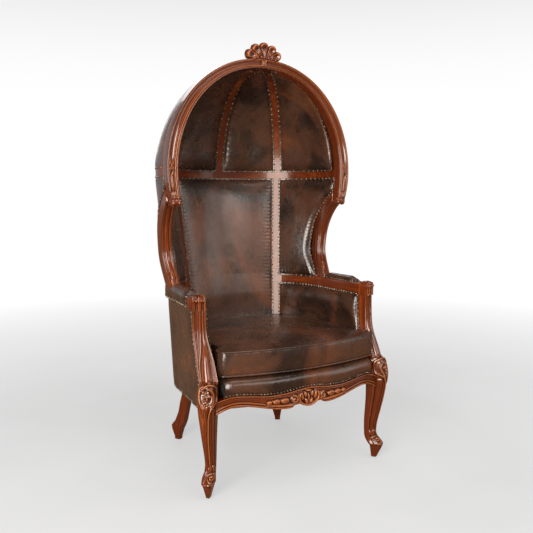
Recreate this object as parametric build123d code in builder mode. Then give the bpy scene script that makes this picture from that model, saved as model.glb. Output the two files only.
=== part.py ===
from build123d import *
from math import asin, cos, degrees, radians, sin, sqrt
import os

os.makedirs("parts", exist_ok=True)

# Hall porter chair: a domed, hooded armchair. Millimetres, +Z up, the front faces -Y.
# Left and right are as seen from the front, so left is -X. The origin is on the floor.

# Heights
overall_height = 1640.0
rail_underside = 310.0
side_rail_height, front_rail_height = 90.0, 54.0
knee_rise = 54.0
border_height = 68.0
cushion_height = 87.0
arm_rail_height = 46.0
arm_level = 700.0
hoop_level = 1142.0
hoop_height = 38.0
crest_height = 67.5

# Plan of the wall's inner face at the rail, the arms and the hoop. An arc runs across the back, and
# at the turn a tighter arc leads round each side, straight on to the front
low_half_width, arm_half_width, hoop_half_width = 303.0, 320.0, 360.0
low_back, arm_back, hoop_back = 224.0, 296.0, 358.0
low_radius_share, arm_radius_share, hoop_radius_share = 1.089, 1.125, 1.125
low_turn_angle, arm_turn_angle, hoop_turn_angle = 50.8, 41.8, 41.8
low_thickness, arm_thickness, hoop_thickness = 55.0, 37.0, 30.0

# Stiles, whose outer flank lies at a share of the turn, and dome ribs
stile_width = 42.0
low_stile_share, arm_stile_share, hoop_stile_share = 0.747, 0.977, 0.983
rib_width = 40.0
crown_flat = 105.0
crown_front_flat = 40.0
crown_thickness_share = 0.5
crown_start = 30.0

# Leather layers and clearances
outer_leather = 6.0
pad_crown = 9.0
seam = 0.3
overrun = 60.0

# Arm supports: their sweep, from the knee up to the arm rail, in shares of their lean and setback
support_foot_inset, support_foot_setback = 3.0, 6.0
support_lean, support_setback = 5.0, 65.0
support_foot_width, support_top_width = 66.0, 50.0
support_level_shares = (0, 0.203, 0.398, 0.648, 1)
support_lean_shares = (0, -0.2, -0.2, 0.8, 1)
support_setback_shares = (0, 0.354, 0.692, 0.938, 1)
support_width_shares = (0, 0.125, 0.5625, 1, 1)
support_depth = 42.0
support_turn = 22.0
support_corner = 7.0

# Arm rails and the leather rests on them
rail_overhang = 10.0
nose_inner_reach, nose_outer_reach, nose_front_reach = 29.0, 33.0, 31.0
nose_round = 12.0
upright_share = 0.9
rest_front_gap, rest_back_gap = 40.0, 24.0
rest_height = 22.0
rest_slope, rest_side_slope = 6.0, 2.0

# Face frame
frame_front = -57.0
frame_depth = 45.0
frame_width = 45.0
frame_crown_width = 34.5
frame_foot_inset = 12.0
frame_foot_draw = 8.0
bead_width = 10.0
hollow_depth = 4.0
frame_foot_drop = 112.0
hollow_foot = 34.0
crown_notch = 26.0
scroll_radius = 16.0
scroll_projection = 6.0

# Wing posts: their scoop, as shares of its depth behind the face frame and of its rise
post_width, post_depth = 44.0, 44.0
post_foot_inset = 7.0
post_scoop = 83.7
post_head_drop, post_head_rise = 10.0, 46.0
post_front_shares = ((0.283, -0.019), (0.88, 0.275), (1, 0.469), (0.857, 0.6875), (0.427, 0.89), (0, 1))
post_rear_shares = ((0.561, -0.016), (0.937, 0.234), (1, 0.42), (0.89, 0.638), (0.561, 0.824), (0, 1))

# Crest shell
crest_thickness = 26.0
crest_lobe_radius = 19.0
crest_lobes = 5
crest_turn = 33.0
crest_width_share = 1.35

# Rear legs: their sections, as shares of the height, of the splay and rake, and of the size
rear_leg_splay, rear_leg_rake, rear_leg_size = 48.0, 76.7, 47.0
rear_leg_level_shares = (0, 0.039, 0.142, 0.2, 0.271, 0.4, 0.542, 0.774, 1)
rear_leg_splay_shares = (1, 1, 0.99, 0.927, 0.74, 0.573, 0.49, 0.26, 0)
rear_leg_rake_shares = (1, 1, 1.026, 1.013, 0.896, 0.778, 0.635, 0.374, 0)
rear_leg_size_shares = (0.574, 0.617, 0.979, 1.191, 1.021, 0.894, 0.915, 0.957, 1)
rear_leg_width_share, rear_leg_corner_share = 0.86, 0.2
rear_leg_turn = 35.0

# Front legs: their sections, as shares of the knee's height, of the sway and of the knee's size
front_foot_x, front_foot_y = 366.0, -307.0
front_leg_sway, front_leg_size = 14.0, 76.0
front_leg_level_shares = (
    0, 0.033, 0.11, 0.148, 0.196, 0.258, 0.359,
    0.478, 0.61, 0.718, 0.825, 0.921, 1,
)
front_leg_side_shares = (
    0, 0.07, 0.21, 0.07, -0.64, -1, -0.93,
    -0.57, -0.21, 0, 0.07, -0.07, -0.36,
)
front_leg_depth_shares = (
    0, -0.14, -0.57, -0.29, 0.57, 0.79, 0.71,
    0.36, -0.07, -0.29, -0.36, -0.07, 0.36,
)
front_leg_size_shares = (
    0.316, 0.395, 0.618, 0.684, 0.592, 0.539, 0.592,
    0.697, 0.816, 0.921, 1, 0.974, 0.895,
)
front_leg_across_share, front_leg_outward_share = 0.78, 1.12
front_leg_corner_share = 0.27
front_leg_turn = 45.0

# Front rail: a bowed rail with a serpentine lower edge
rail_bow = 55.0
rail_end_inset, rail_end_projection = 18.0, 23.0
rail_depth = 34.0
rail_arch_place, rail_dip_place, rail_centre_place = 268.0, 112.0, 46.0
rail_end_height, rail_arch_height, rail_dip_height, rail_centre_height = 64.0, 34.0, 70.0, 58.0
shell_half_width, shell_half_height, shell_boss = 34.0, 26.0, 9.0

# Seat
border_setback = 5.0
border_end_inset = 30.0
border_depth = 40.0
cleat_width, cleat_height = 24.0, 30.0
strap_width, strap_thickness, strap_pitch = 50.0, 3.0, 92.0
strap_count = 6
deck_gap = 2.0
dust_thickness = 2.0

# Seat cushion: a T shape with a bowed front
cushion_gap = 4.0
cushion_ear_inset, cushion_ear_setback = 23.0, 24.0
cushion_overhang = 7.0
cushion_bow = 50.0
cushion_round = 18.0
cushion_crown = 12.0
cushion_edge = 13.0
cushion_draw_share, cushion_waist_share = 0.985, 0.99
cushion_shoulder_share, cushion_shoulder_rise_share, cushion_crown_share = 0.9, 0.7, 0.76


# Worked-out places
rail_top = rail_underside + side_rail_height
front_rail_top = rail_underside + front_rail_height
knee_top = front_rail_top + knee_rise
deck_top = front_rail_top + border_height
frame_foot_level = hoop_level - frame_foot_drop
crown_rise = overall_height - crest_height - frame_crown_width - hoop_level
cleat_underside = rail_underside + dust_thickness + seam
webbing_level = cleat_underside + cleat_height + seam
cushion_bottom = deck_top + seam
cushion_top = cushion_bottom + cushion_height
frame_back = frame_front + frame_depth
hoop_underside = hoop_level - hoop_height / 2
hoop_top = hoop_level + hoop_height / 2
arm_rail_underside = arm_level - arm_rail_height
knee_x = front_foot_x + front_leg_side_shares[-1] * front_leg_sway
knee_y = front_foot_y + front_leg_depth_shares[-1] * front_leg_sway
support_foot_x, support_foot_y = knee_x - support_foot_inset, knee_y + support_foot_setback
nose_inner = support_foot_x + support_lean - nose_inner_reach
nose_outer = support_foot_x + support_lean + nose_outer_reach
nose_front = support_foot_y + support_setback - nose_front_reach
frame_foot_inner = hoop_half_width - frame_foot_draw
rail_end = front_foot_x - rail_end_inset
rail_end_front = front_foot_y - rail_end_projection
cushion_ear = rail_end - cushion_ear_inset
cushion_ear_front = rail_end_front - cushion_overhang
cushion_ear_back = support_foot_y + cushion_ear_setback


# A named size at any height, in a straight line between the three measured levels
def at_level(level, low, arm, hoop):
    if level < arm_level:
        share = (level - rail_underside) / (arm_level - rail_underside)
        return low + (arm - low) * share
    share = (level - arm_level) / (hoop_level - arm_level)
    return arm + (hoop - arm) * share


# Angle, counted from the chair's centre line, where the back arc meets the side arc
def joint_angle(level):
    return at_level(level, low_turn_angle, arm_turn_angle, hoop_turn_angle)


# The plan's arcs at a height: back centre, back radius, side centre, side radius
def plan_at(level):
    half_width = at_level(level, low_half_width, arm_half_width, hoop_half_width)
    back = at_level(level, low_back, arm_back, hoop_back)
    back_radius = half_width * at_level(level, low_radius_share, arm_radius_share, hoop_radius_share)
    turn = radians(joint_angle(level))
    side_radius = (half_width - back_radius * sin(turn)) / (1 - sin(turn))
    side_y = back - back_radius + (back_radius - side_radius) * cos(turn)
    return back - back_radius, back_radius, (half_width - side_radius, side_y), side_radius


def thickness_at(level):
    return at_level(level, low_thickness, arm_thickness, hoop_thickness)


# Angle at the middle of a stile, and at one of its flanks
def stile_angle(level):
    outer = joint_angle(level) * at_level(level, low_stile_share, arm_stile_share, hoop_stile_share)
    return outer - degrees(stile_width / 2 / plan_at(level)[1])


def stile_flank(level, side, width=stile_width):
    return stile_angle(level) + side * degrees(width / 2 / plan_at(level)[1])


# A curved strip of the wall's plan between two angles of the back arc
def back_strip(level, inner, outer, start, end):
    back_centre, back_radius, side_centre, side_radius = plan_at(level)
    with BuildSketch(Plane.XY.offset(level)) as strip:
        with BuildLine():
            inside = CenterArc((0, back_centre), back_radius + inner, 90 - start, start - end)
            outside = CenterArc((0, back_centre), back_radius + outer, 90 - start, start - end)
            Line(inside @ 0, outside @ 0)
            Line(inside @ 1, outside @ 1)
        make_face()
    return strip.sketch


# A strip of the wall's plan that runs from the back arc round the side to a front edge
def side_strip(level, inner, outer, start, front_inner, front_outer, front_depth):
    back_centre, back_radius, side_centre, side_radius = plan_at(level)
    turn = joint_angle(level)
    with BuildSketch(Plane.XY.offset(level)) as strip:
        with BuildLine():
            ends = []
            fronts = ((inner, front_inner), (outer, front_outer))
            for layer, front in fronts:
                back = CenterArc((0, back_centre), back_radius + layer, 90 - start, start - turn)
                side = CenterArc(side_centre, side_radius + layer, 90 - turn, turn - 90)
                straight = Line(side @ 1, (front, front_depth))
                ends.append((back @ 0, straight @ 1))
            Line(ends[0][0], ends[1][0])
            Line(ends[0][1], ends[1][1])
        make_face()
    return strip.sketch


# The arm support's sections: height, middle and width of each
support_sections = []
for level, lean, setback, narrowing in zip(
    support_level_shares, support_lean_shares, support_setback_shares, support_width_shares
):
    support_sections.append((
        knee_top + (arm_rail_underside - knee_top) * level,
        support_foot_x + support_lean * lean,
        support_foot_y + support_setback * setback,
        support_foot_width + (support_top_width - support_foot_width) * narrowing,
    ))


# Where the arm support stands at a height: its middle and its width
def support_at(level):
    bounded = min(max(level, knee_top), arm_rail_underside)
    for low, high in zip(support_sections, support_sections[1:]):
        if bounded <= high[0]:
            share = (bounded - low[0]) / (high[0] - low[0])
            return [start + (end - start) * share for start, end in zip(low[1:], high[1:])]
    return support_sections[-1][1:]


# The arm wall's strip, whose front edge follows the arm support and, lower down, runs into the leg
def arm_strip(level, inner, outer, start):
    x, y, width = support_at(level)
    half_wide = width / 2 * cos(radians(support_turn))
    half_deep = width / 2 * sin(radians(support_turn)) + support_depth / 2 * cos(radians(support_turn))
    front = y if level < knee_top else y + half_deep + seam
    front_inner = x - half_wide + 2 * half_wide * inner / thickness_at(level)
    front_outer = x - half_wide + 2 * half_wide * outer / thickness_at(level)
    return side_strip(level, inner, outer, start, front_inner, front_outer, front)


# The wing's strip, which runs straight forward to the face frame
def wing_strip(level, inner, outer, start):
    half_width = at_level(level, low_half_width, arm_half_width, hoop_half_width)
    front = frame_back + seam
    return side_strip(level, inner, outer, start, half_width + inner, half_width + outer, front)


def save(piece, name):
    piece.label = name
    export_step(piece, f"parts/{name}.step")


def save_pair(piece, name):
    save(piece, f"{name}_right")
    save(mirror(piece, about=Plane.YZ), f"{name}_left")


# Back stiles, from the rail up to the hoop
def stile_strip(level):
    return back_strip(level, 0, thickness_at(level), stile_flank(level, -1), stile_flank(level, 1))


with BuildPart() as back_stile:
    add(stile_strip(rail_top + seam))
    add(stile_strip(arm_level))
    add(stile_strip(hoop_underside - seam))
    loft(ruled=True)
save_pair(back_stile.part, "back_stile")


# Rear legs: a block between the rails, then a sabre leg with a pointed heel
stile_middle = plan_at(rail_underside)[1] + thickness_at(rail_underside) / 2
stile_turn = radians(stile_angle(rail_underside))
rear_leg_x = stile_middle * sin(stile_turn)
rear_leg_y = plan_at(rail_underside)[0] + stile_middle * cos(stile_turn)
with BuildPart() as rear_leg:
    for level, splay, rake, share in zip(
        rear_leg_level_shares, rear_leg_splay_shares, rear_leg_rake_shares, rear_leg_size_shares
    ):
        place = (rear_leg_x + rear_leg_splay * splay, rear_leg_y + rear_leg_rake * rake, 0)
        size = rear_leg_size * share
        with BuildSketch(Plane.XY.offset(rail_underside * level)):
            with Locations(Location(place, (0, 0, -rear_leg_turn))):
                RectangleRounded(size * rear_leg_width_share, size, size * rear_leg_corner_share)
    loft(ruled=True)
    add(stile_strip(rail_underside))
    add(stile_strip(rail_top))
    loft(ruled=True)
save_pair(rear_leg.part, "rear_leg")


# Front legs: a knee block under the arm support, a cabriole curve and a scrolled toe on a block foot
def cabriole(growth):
    with BuildPart() as leg:
        for level, side, setback, share in zip(
            front_leg_level_shares, front_leg_side_shares, front_leg_depth_shares, front_leg_size_shares
        ):
            place = (front_foot_x + front_leg_sway * side, front_foot_y + front_leg_sway * setback, 0)
            size = front_leg_size * share
            across, outward = size * front_leg_across_share, size * front_leg_outward_share
            with BuildSketch(Plane.XY.offset(knee_top * level)):
                with Locations(Location(place, (0, 0, front_leg_turn))):
                    RectangleRounded(across + growth, outward + growth, size * front_leg_corner_share)
        loft(ruled=True)
    return leg.part


save_pair(cabriole(0), "front_leg")
leg_room = cabriole(2 * seam)
both_leg_rooms = (leg_room, mirror(leg_room, about=Plane.YZ))


# Back pad and outer back leather, between the stiles
def between_stiles(level, inner, outer):
    flank = stile_flank(level, -1) - degrees(seam / plan_at(level)[1])
    return back_strip(level, inner, outer, -flank, flank)


with BuildPart() as back_pad:
    for level in (rail_top + seam, arm_level, hoop_underside - seam):
        add(between_stiles(level, -pad_crown, thickness_at(level) - outer_leather - seam))
    loft(ruled=True)
save(back_pad.part, "back_pad")

with BuildPart() as outer_back:
    for level in (rail_underside, arm_level, hoop_underside - seam):
        add(between_stiles(level, thickness_at(level) - outer_leather, thickness_at(level)))
    loft(ruled=True)
save(outer_back.part, "outer_back")


# Seat rails
with BuildPart() as back_rail:
    for level in (rail_underside, rail_top):
        add(between_stiles(level, 0, thickness_at(level) - outer_leather - seam))
    loft(ruled=True)
save(back_rail.part, "back_rail")


def beside_stile(level):
    return stile_flank(level, 1) + degrees(seam / plan_at(level)[1])


with BuildPart() as side_rail:
    for level in (rail_underside, rail_top):
        add(arm_strip(level, 0, thickness_at(level) - outer_leather - seam, beside_stile(level)))
    loft(ruled=True)
    add(leg_room, mode=Mode.SUBTRACT)
save_pair(side_rail.part, "side_rail")


# Arm supports
with BuildPart() as arm_support:
    for level, x, y, width in support_sections:
        with BuildSketch(Plane.XY.offset(level)):
            with Locations(Location((x, y, 0), (0, 0, support_turn))):
                RectangleRounded(width, support_depth, support_corner)
    loft(ruled=True)
save_pair(arm_support.part, "arm_support")


# Arm pads inside and arm leather outside, from the seat up to the arm rail
support_levels = [section[0] for section in support_sections[:-1]]
pad_levels = (rail_top + seam, *support_levels, arm_rail_underside - seam)
with BuildPart() as arm_pad:
    for level in pad_levels:
        outer = thickness_at(level) - outer_leather - seam
        add(arm_strip(level, -pad_crown, outer, beside_stile(level)))
    loft(ruled=True)
    add(leg_room, mode=Mode.SUBTRACT)
save_pair(arm_pad.part, "arm_pad")

with BuildPart() as outer_arm:
    for level in (rail_underside, *support_levels, arm_rail_underside - seam):
        full = thickness_at(level)
        add(arm_strip(level, full - outer_leather, full, beside_stile(level)))
    loft(ruled=True)
    add(leg_room, mode=Mode.SUBTRACT)
save_pair(outer_arm.part, "outer_arm")


# Arm rails: a horseshoe from the stile to a rounded nose over the support
with BuildPart() as arm_rail:
    for level in (arm_rail_underside + seam, arm_level):
        outer = thickness_at(arm_level) + rail_overhang
        start = beside_stile(level)
        add(side_strip(level, 0, outer, start, nose_inner, nose_outer, nose_front))
    loft(ruled=True)
    upright = arm_rail.edges().filter_by(lambda edge: abs(edge.tangent_at(0).Z) > upright_share)
    fillet(upright.group_by(Axis.Y)[0], nose_round)
save_pair(arm_rail.part, "arm_rail")


# Leather rests on the arm rails, in front of the wing posts
def rest_outline(level, inset):
    outer = thickness_at(arm_level) + rail_overhang
    with BuildSketch(Plane.XY.offset(level)) as outline:
        with BuildLine():
            corners = []
            for nose, wall, side in (
                (nose_inner, arm_half_width, 1),
                (nose_outer, arm_half_width + outer, -1),
            ):
                for depth, draw in ((nose_front + rest_front_gap, 1), (frame_back + rest_back_gap, -1)):
                    share = (depth - nose_front) / (plan_at(arm_level)[2][1] - nose_front)
                    x = nose + (wall - nose) * share + side * inset
                    corners.append((x, depth + draw * inset))
            Polyline(corners[0], corners[1], corners[3], corners[2], close=True)
        make_face()
    return outline.sketch


with BuildPart() as arm_rest:
    add(rest_outline(arm_level + seam, 0))
    add(rest_outline(arm_level + rest_height - rest_slope, rest_side_slope))
    add(rest_outline(arm_level + rest_height, rest_slope * 2))
    loft(ruled=True)
save_pair(arm_rest.part, "arm_rest")


# Wing posts: scooped members that lean out from the arm rail to the face frame
post_front_rise = frame_foot_level - post_head_drop - arm_level
post_rear_rise = frame_foot_level + post_head_rise - arm_level
post_lean = Plane(
    origin=(arm_half_width + post_foot_inset, 0, arm_level),
    x_dir=(0, 1, 0),
    z_dir=(post_front_rise, 0, arm_half_width + post_foot_inset - frame_foot_inner),
)


# A curve of the scoop on the leaning plane, moved back by a clearance
def scoop_curve(shares, scoop, rise, clearance=0):
    foot = frame_back + seam + clearance
    return Spline(*[(foot + scoop * back, rise * up) for back, up in shares])


with BuildPart() as wing_post:
    with BuildSketch(post_lean):
        with BuildLine():
            front = scoop_curve(post_front_shares, post_scoop, post_front_rise)
            rear = scoop_curve(post_rear_shares, post_scoop + post_depth, post_rear_rise)
            Line(front @ 0, rear @ 0)
            Line(front @ 1, rear @ 1)
        make_face()
    extrude(amount=post_width)
    split(bisect_by=Plane.XY.offset(arm_level + seam), keep=Keep.TOP)
save_pair(wing_post.part, "wing_post")

# Everything in front of a wing post's rear curve
with BuildPart() as before_post:
    with BuildSketch(post_lean):
        with BuildLine():
            rear = scoop_curve(post_rear_shares, post_scoop + post_depth, post_rear_rise, seam)
            start, end = rear @ 0, rear @ 1
            Polyline(start, (start.X, -overrun), (-overrun, -overrun), (-overrun, end.Y), end)
        make_face()
    extrude(amount=post_width + overrun, both=True)


# Wing pads and outer wing leather, from the arm rail up to the hoop
def wing(inner, outer):
    with BuildPart() as piece:
        for level in (arm_level + seam, hoop_underside - seam):
            full = thickness_at(level)
            add(wing_strip(level, inner(full), outer(full), beside_stile(level)))
        loft(ruled=True)
        add(before_post.part, mode=Mode.SUBTRACT)
    return piece.part


save_pair(wing(lambda full: -pad_crown, lambda full: full - outer_leather - seam), "wing_pad")
save_pair(wing(lambda full: full - outer_leather, lambda full: full), "outer_wing")


# Hood hoop: a flat band bent round the plan
with BuildPart() as hood_hoop:
    front = frame_back + seam
    reach = hoop_half_width + hoop_thickness
    add(side_strip(hoop_level, 0, hoop_thickness, 0, hoop_half_width, reach, front))
    extrude(amount=hoop_height / 2, both=True)
    mirror(about=Plane.YZ)
save(hood_hoop.part, "hood_hoop")


# The dome's pole stands at the centre of the hoop's back arc
dome_reach = hoop_half_width * hoop_radius_share
dome_pole = hoop_back - dome_reach


# The dome's profile in an upright plane through the crown: a short flat, then a quarter ellipse. Its
# layers grow thinner towards the crown
def dome_profile(plane, reach, flat, inner, outer, start=0):
    with BuildSketch(plane) as profile:
        with BuildLine():
            inside_rise = crown_rise + inner * crown_thickness_share
            outside_rise = crown_rise + outer * crown_thickness_share
            start_place = (flat, hoop_level)
            inside = EllipticalCenterArc(start_place, reach - flat + inner, inside_rise, arc_size=90)
            outside = EllipticalCenterArc(start_place, reach - flat + outer, outside_rise, arc_size=90)
            inside_flat = Line(inside @ 1, (start, hoop_level + inside_rise))
            outside_flat = Line(outside @ 1, (start, hoop_level + outside_rise))
            Line(inside @ 0, outside @ 0)
            Line(inside_flat @ 1, outside_flat @ 1)
        make_face()
    return profile.sketch


def meridian(angle):
    turn = radians(angle)
    along, across = (sin(turn), cos(turn), 0), (cos(turn), -sin(turn), 0)
    return Plane(origin=(0, dome_pole, 0), x_dir=along, z_dir=across)


dome_size = dome_reach + crown_rise + hoop_thickness + overrun


# The room above the hoop and behind the face frame
with BuildPart() as dome_room:
    with BuildSketch(Plane.XY.offset(hoop_top + seam)):
        with Locations((0, frame_back + seam)):
            Rectangle(2 * dome_size, 2 * dome_size, align=(Align.CENTER, Align.MIN))
    extrude(amount=dome_size)


# An upright slab along a rib, wider than the rib by a seam on each side
def rib_slab(angle, width):
    with BuildPart() as slab:
        with BuildSketch(meridian(angle).offset(-width / 2)):
            with Locations((0, hoop_level)):
                Rectangle(2 * dome_size, 2 * dome_size)
        extrude(amount=width)
    return slab.part


rib_angle = stile_angle(hoop_level)

with BuildPart() as dome_rib_centre:
    flank = meridian(0).offset(-rib_width / 2)
    rib_face = dome_profile(flank, dome_reach, crown_flat, 0, hoop_thickness)
    extrude(rib_face, amount=rib_width, dir=flank.z_dir)
    add(dome_room.part, mode=Mode.INTERSECT)
save(dome_rib_centre.part, "dome_rib_centre")

with BuildPart() as dome_rib:
    flank = meridian(rib_angle).offset(-rib_width / 2)
    rib_face = dome_profile(flank, dome_reach, crown_flat, 0, hoop_thickness)
    extrude(rib_face, amount=rib_width, dir=flank.z_dir)
    add(dome_room.part, mode=Mode.INTERSECT)
    add(rib_slab(0, rib_width + 2 * seam), mode=Mode.SUBTRACT)
save_pair(dome_rib.part, "dome_rib")


# Dome gores: an inner pad and an outer leather in each of the four bays between the ribs
pad_outer = hoop_thickness - outer_leather - seam
leather_inner = hoop_thickness - outer_leather


def back_gore(inner, outer):
    with BuildPart() as gore:
        add(dome_profile(meridian(0), dome_reach, crown_flat, inner, outer))
        revolve(axis=Axis((0, dome_pole, 0), (0, 0, -1)), revolution_arc=rib_angle)
        add(dome_room.part, mode=Mode.INTERSECT)
        add(rib_slab(0, rib_width + 2 * seam), mode=Mode.SUBTRACT)
        add(rib_slab(rib_angle, rib_width + 2 * seam), mode=Mode.SUBTRACT)
    return gore.part


save_pair(back_gore(-pad_crown, pad_outer), "dome_pad_back")
save_pair(back_gore(leather_inner, hoop_thickness), "outer_dome_back")


# Reach of the hoop's plan from the dome's pole, at an angle past the back arc
def hoop_reach(angle):
    (side_x, side_y), side_radius = plan_at(hoop_level)[2:]
    turn = radians(angle)
    along = side_x * sin(turn) + (side_y - dome_pole) * cos(turn)
    beyond = side_radius**2 - side_x**2 - (side_y - dome_pole) ** 2
    straight = hoop_half_width / sin(turn)
    return min(along + sqrt(along**2 + beyond), straight)


side_gore_shares = (0, 0.3, 0.55, 0.78, 1)


def side_gore(inner, outer):
    with BuildPart() as gore:
        for share in side_gore_shares:
            angle = rib_angle + (90 - rib_angle) * share
            reach = dome_reach if share == 0 else hoop_reach(angle)
            flat = crown_flat + (crown_front_flat - crown_flat) * share
            add(dome_profile(meridian(angle), reach, flat, inner, outer, crown_start))
        loft(ruled=True)
        add(dome_room.part, mode=Mode.INTERSECT)
        add(rib_slab(rib_angle, rib_width + 2 * seam), mode=Mode.SUBTRACT)
        add(rib_slab(0, rib_width + 2 * seam), mode=Mode.SUBTRACT)
    return gore.part


save_pair(side_gore(-pad_crown, pad_outer), "dome_pad_side")
save_pair(side_gore(leather_inner, hoop_thickness), "outer_dome_side")


# Face frame: an arch in two halves, moulded in front, each ending in a scroll
frame_outer = hoop_half_width + frame_width
frame_rise = crown_rise + frame_crown_width


# One half of the arch's outline, drawn in from both edges
def arch_outline(outer_inset, inner_inset, foot, crown):
    with BuildSketch(Plane.XZ.offset(-frame_front)) as outline:
        with BuildLine():
            ends = []
            outer_foot = frame_outer - frame_foot_inset - outer_inset
            inner_foot = frame_foot_inner + inner_inset
            for half_width, rise, foot_place in (
                (frame_outer - outer_inset, frame_rise - outer_inset, outer_foot),
                (hoop_half_width + inner_inset, crown_rise + inner_inset, inner_foot),
            ):
                arc = EllipticalCenterArc((0, hoop_level), half_width, rise, arc_size=90)
                side = Bezier(arc @ 0, (half_width, (hoop_level + foot) / 2), (foot_place, foot))
                ends.append((arc @ 1, side @ 1))
            Line(ends[0][0], ends[1][0])
            Line(ends[0][1], ends[1][1])
        make_face()
        if crown:
            with Locations((crown + frame_outer, hoop_level)):
                Rectangle(2 * frame_outer, 2 * frame_rise, mode=Mode.INTERSECT)
    return outline.sketch


with BuildPart() as arch:
    outline = arch_outline(0, 0, frame_foot_level, seam / 2)
    extrude(outline, amount=frame_depth, dir=(0, 1, 0))
    hollow = arch_outline(bead_width, bead_width, frame_foot_level + hollow_foot, crown_notch)
    extrude(hollow, amount=hollow_depth, dir=(0, 1, 0), mode=Mode.SUBTRACT)
    with BuildSketch(Plane.XZ.offset(scroll_projection - frame_front)):
        with Locations(((frame_foot_inner + frame_outer - frame_foot_inset) / 2, frame_foot_level)):
            Circle(scroll_radius)
    extrude(amount=-frame_depth - scroll_projection)
save_pair(arch.part, "face_arch")


# Crest shell: a fan of lobes on the arch's crown
with BuildPart() as crest_shell:
    crest_foot = hoop_level + frame_rise
    lobe_reach = crest_height - crest_lobe_radius
    with BuildSketch(Plane.XZ.offset(-frame_front)):
        for index in range(crest_lobes):
            turn = radians(90 + (index - (crest_lobes - 1) / 2) * crest_turn)
            centre = (crest_width_share * lobe_reach * cos(turn), crest_foot + lobe_reach * sin(turn))
            with Locations(centre):
                Circle(crest_lobe_radius)
        with Locations((0, crest_foot)):
            Ellipse(crest_width_share * lobe_reach, lobe_reach)
        with Locations((0, crest_foot)):
            side = 4 * lobe_reach
            Rectangle(side, side, align=(Align.CENTER, Align.MAX), mode=Mode.SUBTRACT)
    extrude(amount=-crest_thickness)
save(crest_shell.part, "crest_shell")


# How far forward the bowed front lies at a place across the seat
def bow_front(x, setback):
    radius = (rail_end**2 + rail_bow**2) / (2 * rail_bow)
    return rail_end_front + setback - rail_bow + radius - sqrt(radius**2 - x**2)


# A bowed strip across the seat's front, between two depths behind the rail's face
def bowed_strip(level, half_width, near, far):
    with BuildSketch(Plane.XY.offset(level)) as strip:
        with BuildLine():
            ends = []
            for setback in (near, far):
                corner = bow_front(half_width, setback)
                middle = (0, bow_front(0, setback))
                arc = ThreePointArc((-half_width, corner), middle, (half_width, corner))
                ends.append((arc @ 0, arc @ 1))
            Line(ends[0][0], ends[1][0])
            Line(ends[0][1], ends[1][1])
        make_face()
    return strip.sketch


# Front rail, with a shell carved at its middle
with BuildPart() as front_rail:
    add(bowed_strip(front_rail_top, rail_end, 0, rail_depth))
    extrude(amount=-rail_dip_height)
    with BuildSketch(Plane.XZ) as arches:
        with BuildLine():
            half = (
                (rail_centre_place, front_rail_top - rail_centre_height),
                (rail_dip_place, front_rail_top - rail_dip_height),
                (rail_arch_place, front_rail_top - rail_arch_height),
                (rail_end, front_rail_top - rail_end_height),
            )
            lower = Spline(*[(-x, z) for x, z in reversed(half)], *half)
            start, end = lower @ 0, lower @ 1
            floor = front_rail_top - rail_dip_height - overrun
            Polyline(start, (start.X, floor), (end.X, floor), end)
        make_face()
    extrude(amount=-2 * rail_end_front, mode=Mode.SUBTRACT)
    with BuildSketch(Plane.XZ.offset(rail_bow - rail_end_front - rail_depth / 2)):
        with Locations((0, front_rail_top - rail_dip_height / 2)):
            Ellipse(shell_half_width, shell_half_height)
    extrude(amount=rail_depth / 2 + shell_boss)
    for room in both_leg_rooms:
        add(room, mode=Mode.SUBTRACT)
save(front_rail.part, "front_rail")


# Leather border between the front rail and the cushion
with BuildPart() as front_border:
    for level in (front_rail_top + seam, deck_top):
        back = border_setback + border_depth
        add(bowed_strip(level, rail_end - border_end_inset, border_setback, back))
    loft(ruled=True)
    for room in both_leg_rooms:
        add(room, mode=Mode.SUBTRACT)
save(front_border.part, "front_border")


# Plan of the seat inside the walls, with a bowed front
def seat_plan(level, gap, setback):
    back_centre, back_radius, side_centre, side_radius = plan_at(level)
    turn = joint_angle(level)
    x, y, width = support_at(level)
    corner = x - width / 2 * cos(radians(support_turn)) - gap
    front = bow_front(corner, setback)
    with BuildSketch(Plane.XY.offset(level)) as plan:
        with BuildLine():
            CenterArc((0, back_centre), back_radius - gap, 90 - turn, 2 * turn)
            right = CenterArc(side_centre, side_radius - gap, 90 - turn, turn - 90)
            left = CenterArc((-side_centre[0], side_centre[1]), side_radius - gap, 90 + turn, 90 - turn)
            Line(right @ 1, (corner, front))
            Line(left @ 1, (-corner, front))
            ThreePointArc((-corner, front), (0, bow_front(0, setback)), (corner, front))
        make_face()
    return plan.sketch


# Cleats inside the rails, the webbing on them and the sprung deck on the webbing
with BuildPart() as seat_cleats:
    add(seat_plan(cleat_underside, seam, rail_depth + seam))
    extrude(amount=cleat_height)
    add(seat_plan(cleat_underside, cleat_width, rail_depth + cleat_width))
    extrude(amount=cleat_height, mode=Mode.SUBTRACT)
    for room in both_leg_rooms:
        add(room, mode=Mode.SUBTRACT)
save(seat_cleats.part, "seat_cleats")

with BuildPart() as seat_webbing:
    strap_length = 2 * low_half_width
    with BuildSketch(Plane.XY.offset(webbing_level)):
        with Locations((0, (low_back + rail_end_front) / 2)):
            with GridLocations(strap_pitch, 0, strap_count, 1):
                Rectangle(strap_width, 2 * strap_length)
            with GridLocations(0, strap_pitch, 1, strap_count):
                Rectangle(2 * strap_length, strap_width)
    extrude(amount=strap_thickness)
    with BuildPart(mode=Mode.PRIVATE) as webbing_room:
        add(seat_plan(webbing_level, 2 * seam, rail_depth + 2 * seam))
        extrude(amount=strap_thickness)
    add(webbing_room.part, mode=Mode.INTERSECT)
    for room in both_leg_rooms:
        add(room, mode=Mode.SUBTRACT)
save(seat_webbing.part, "seat_webbing")

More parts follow.
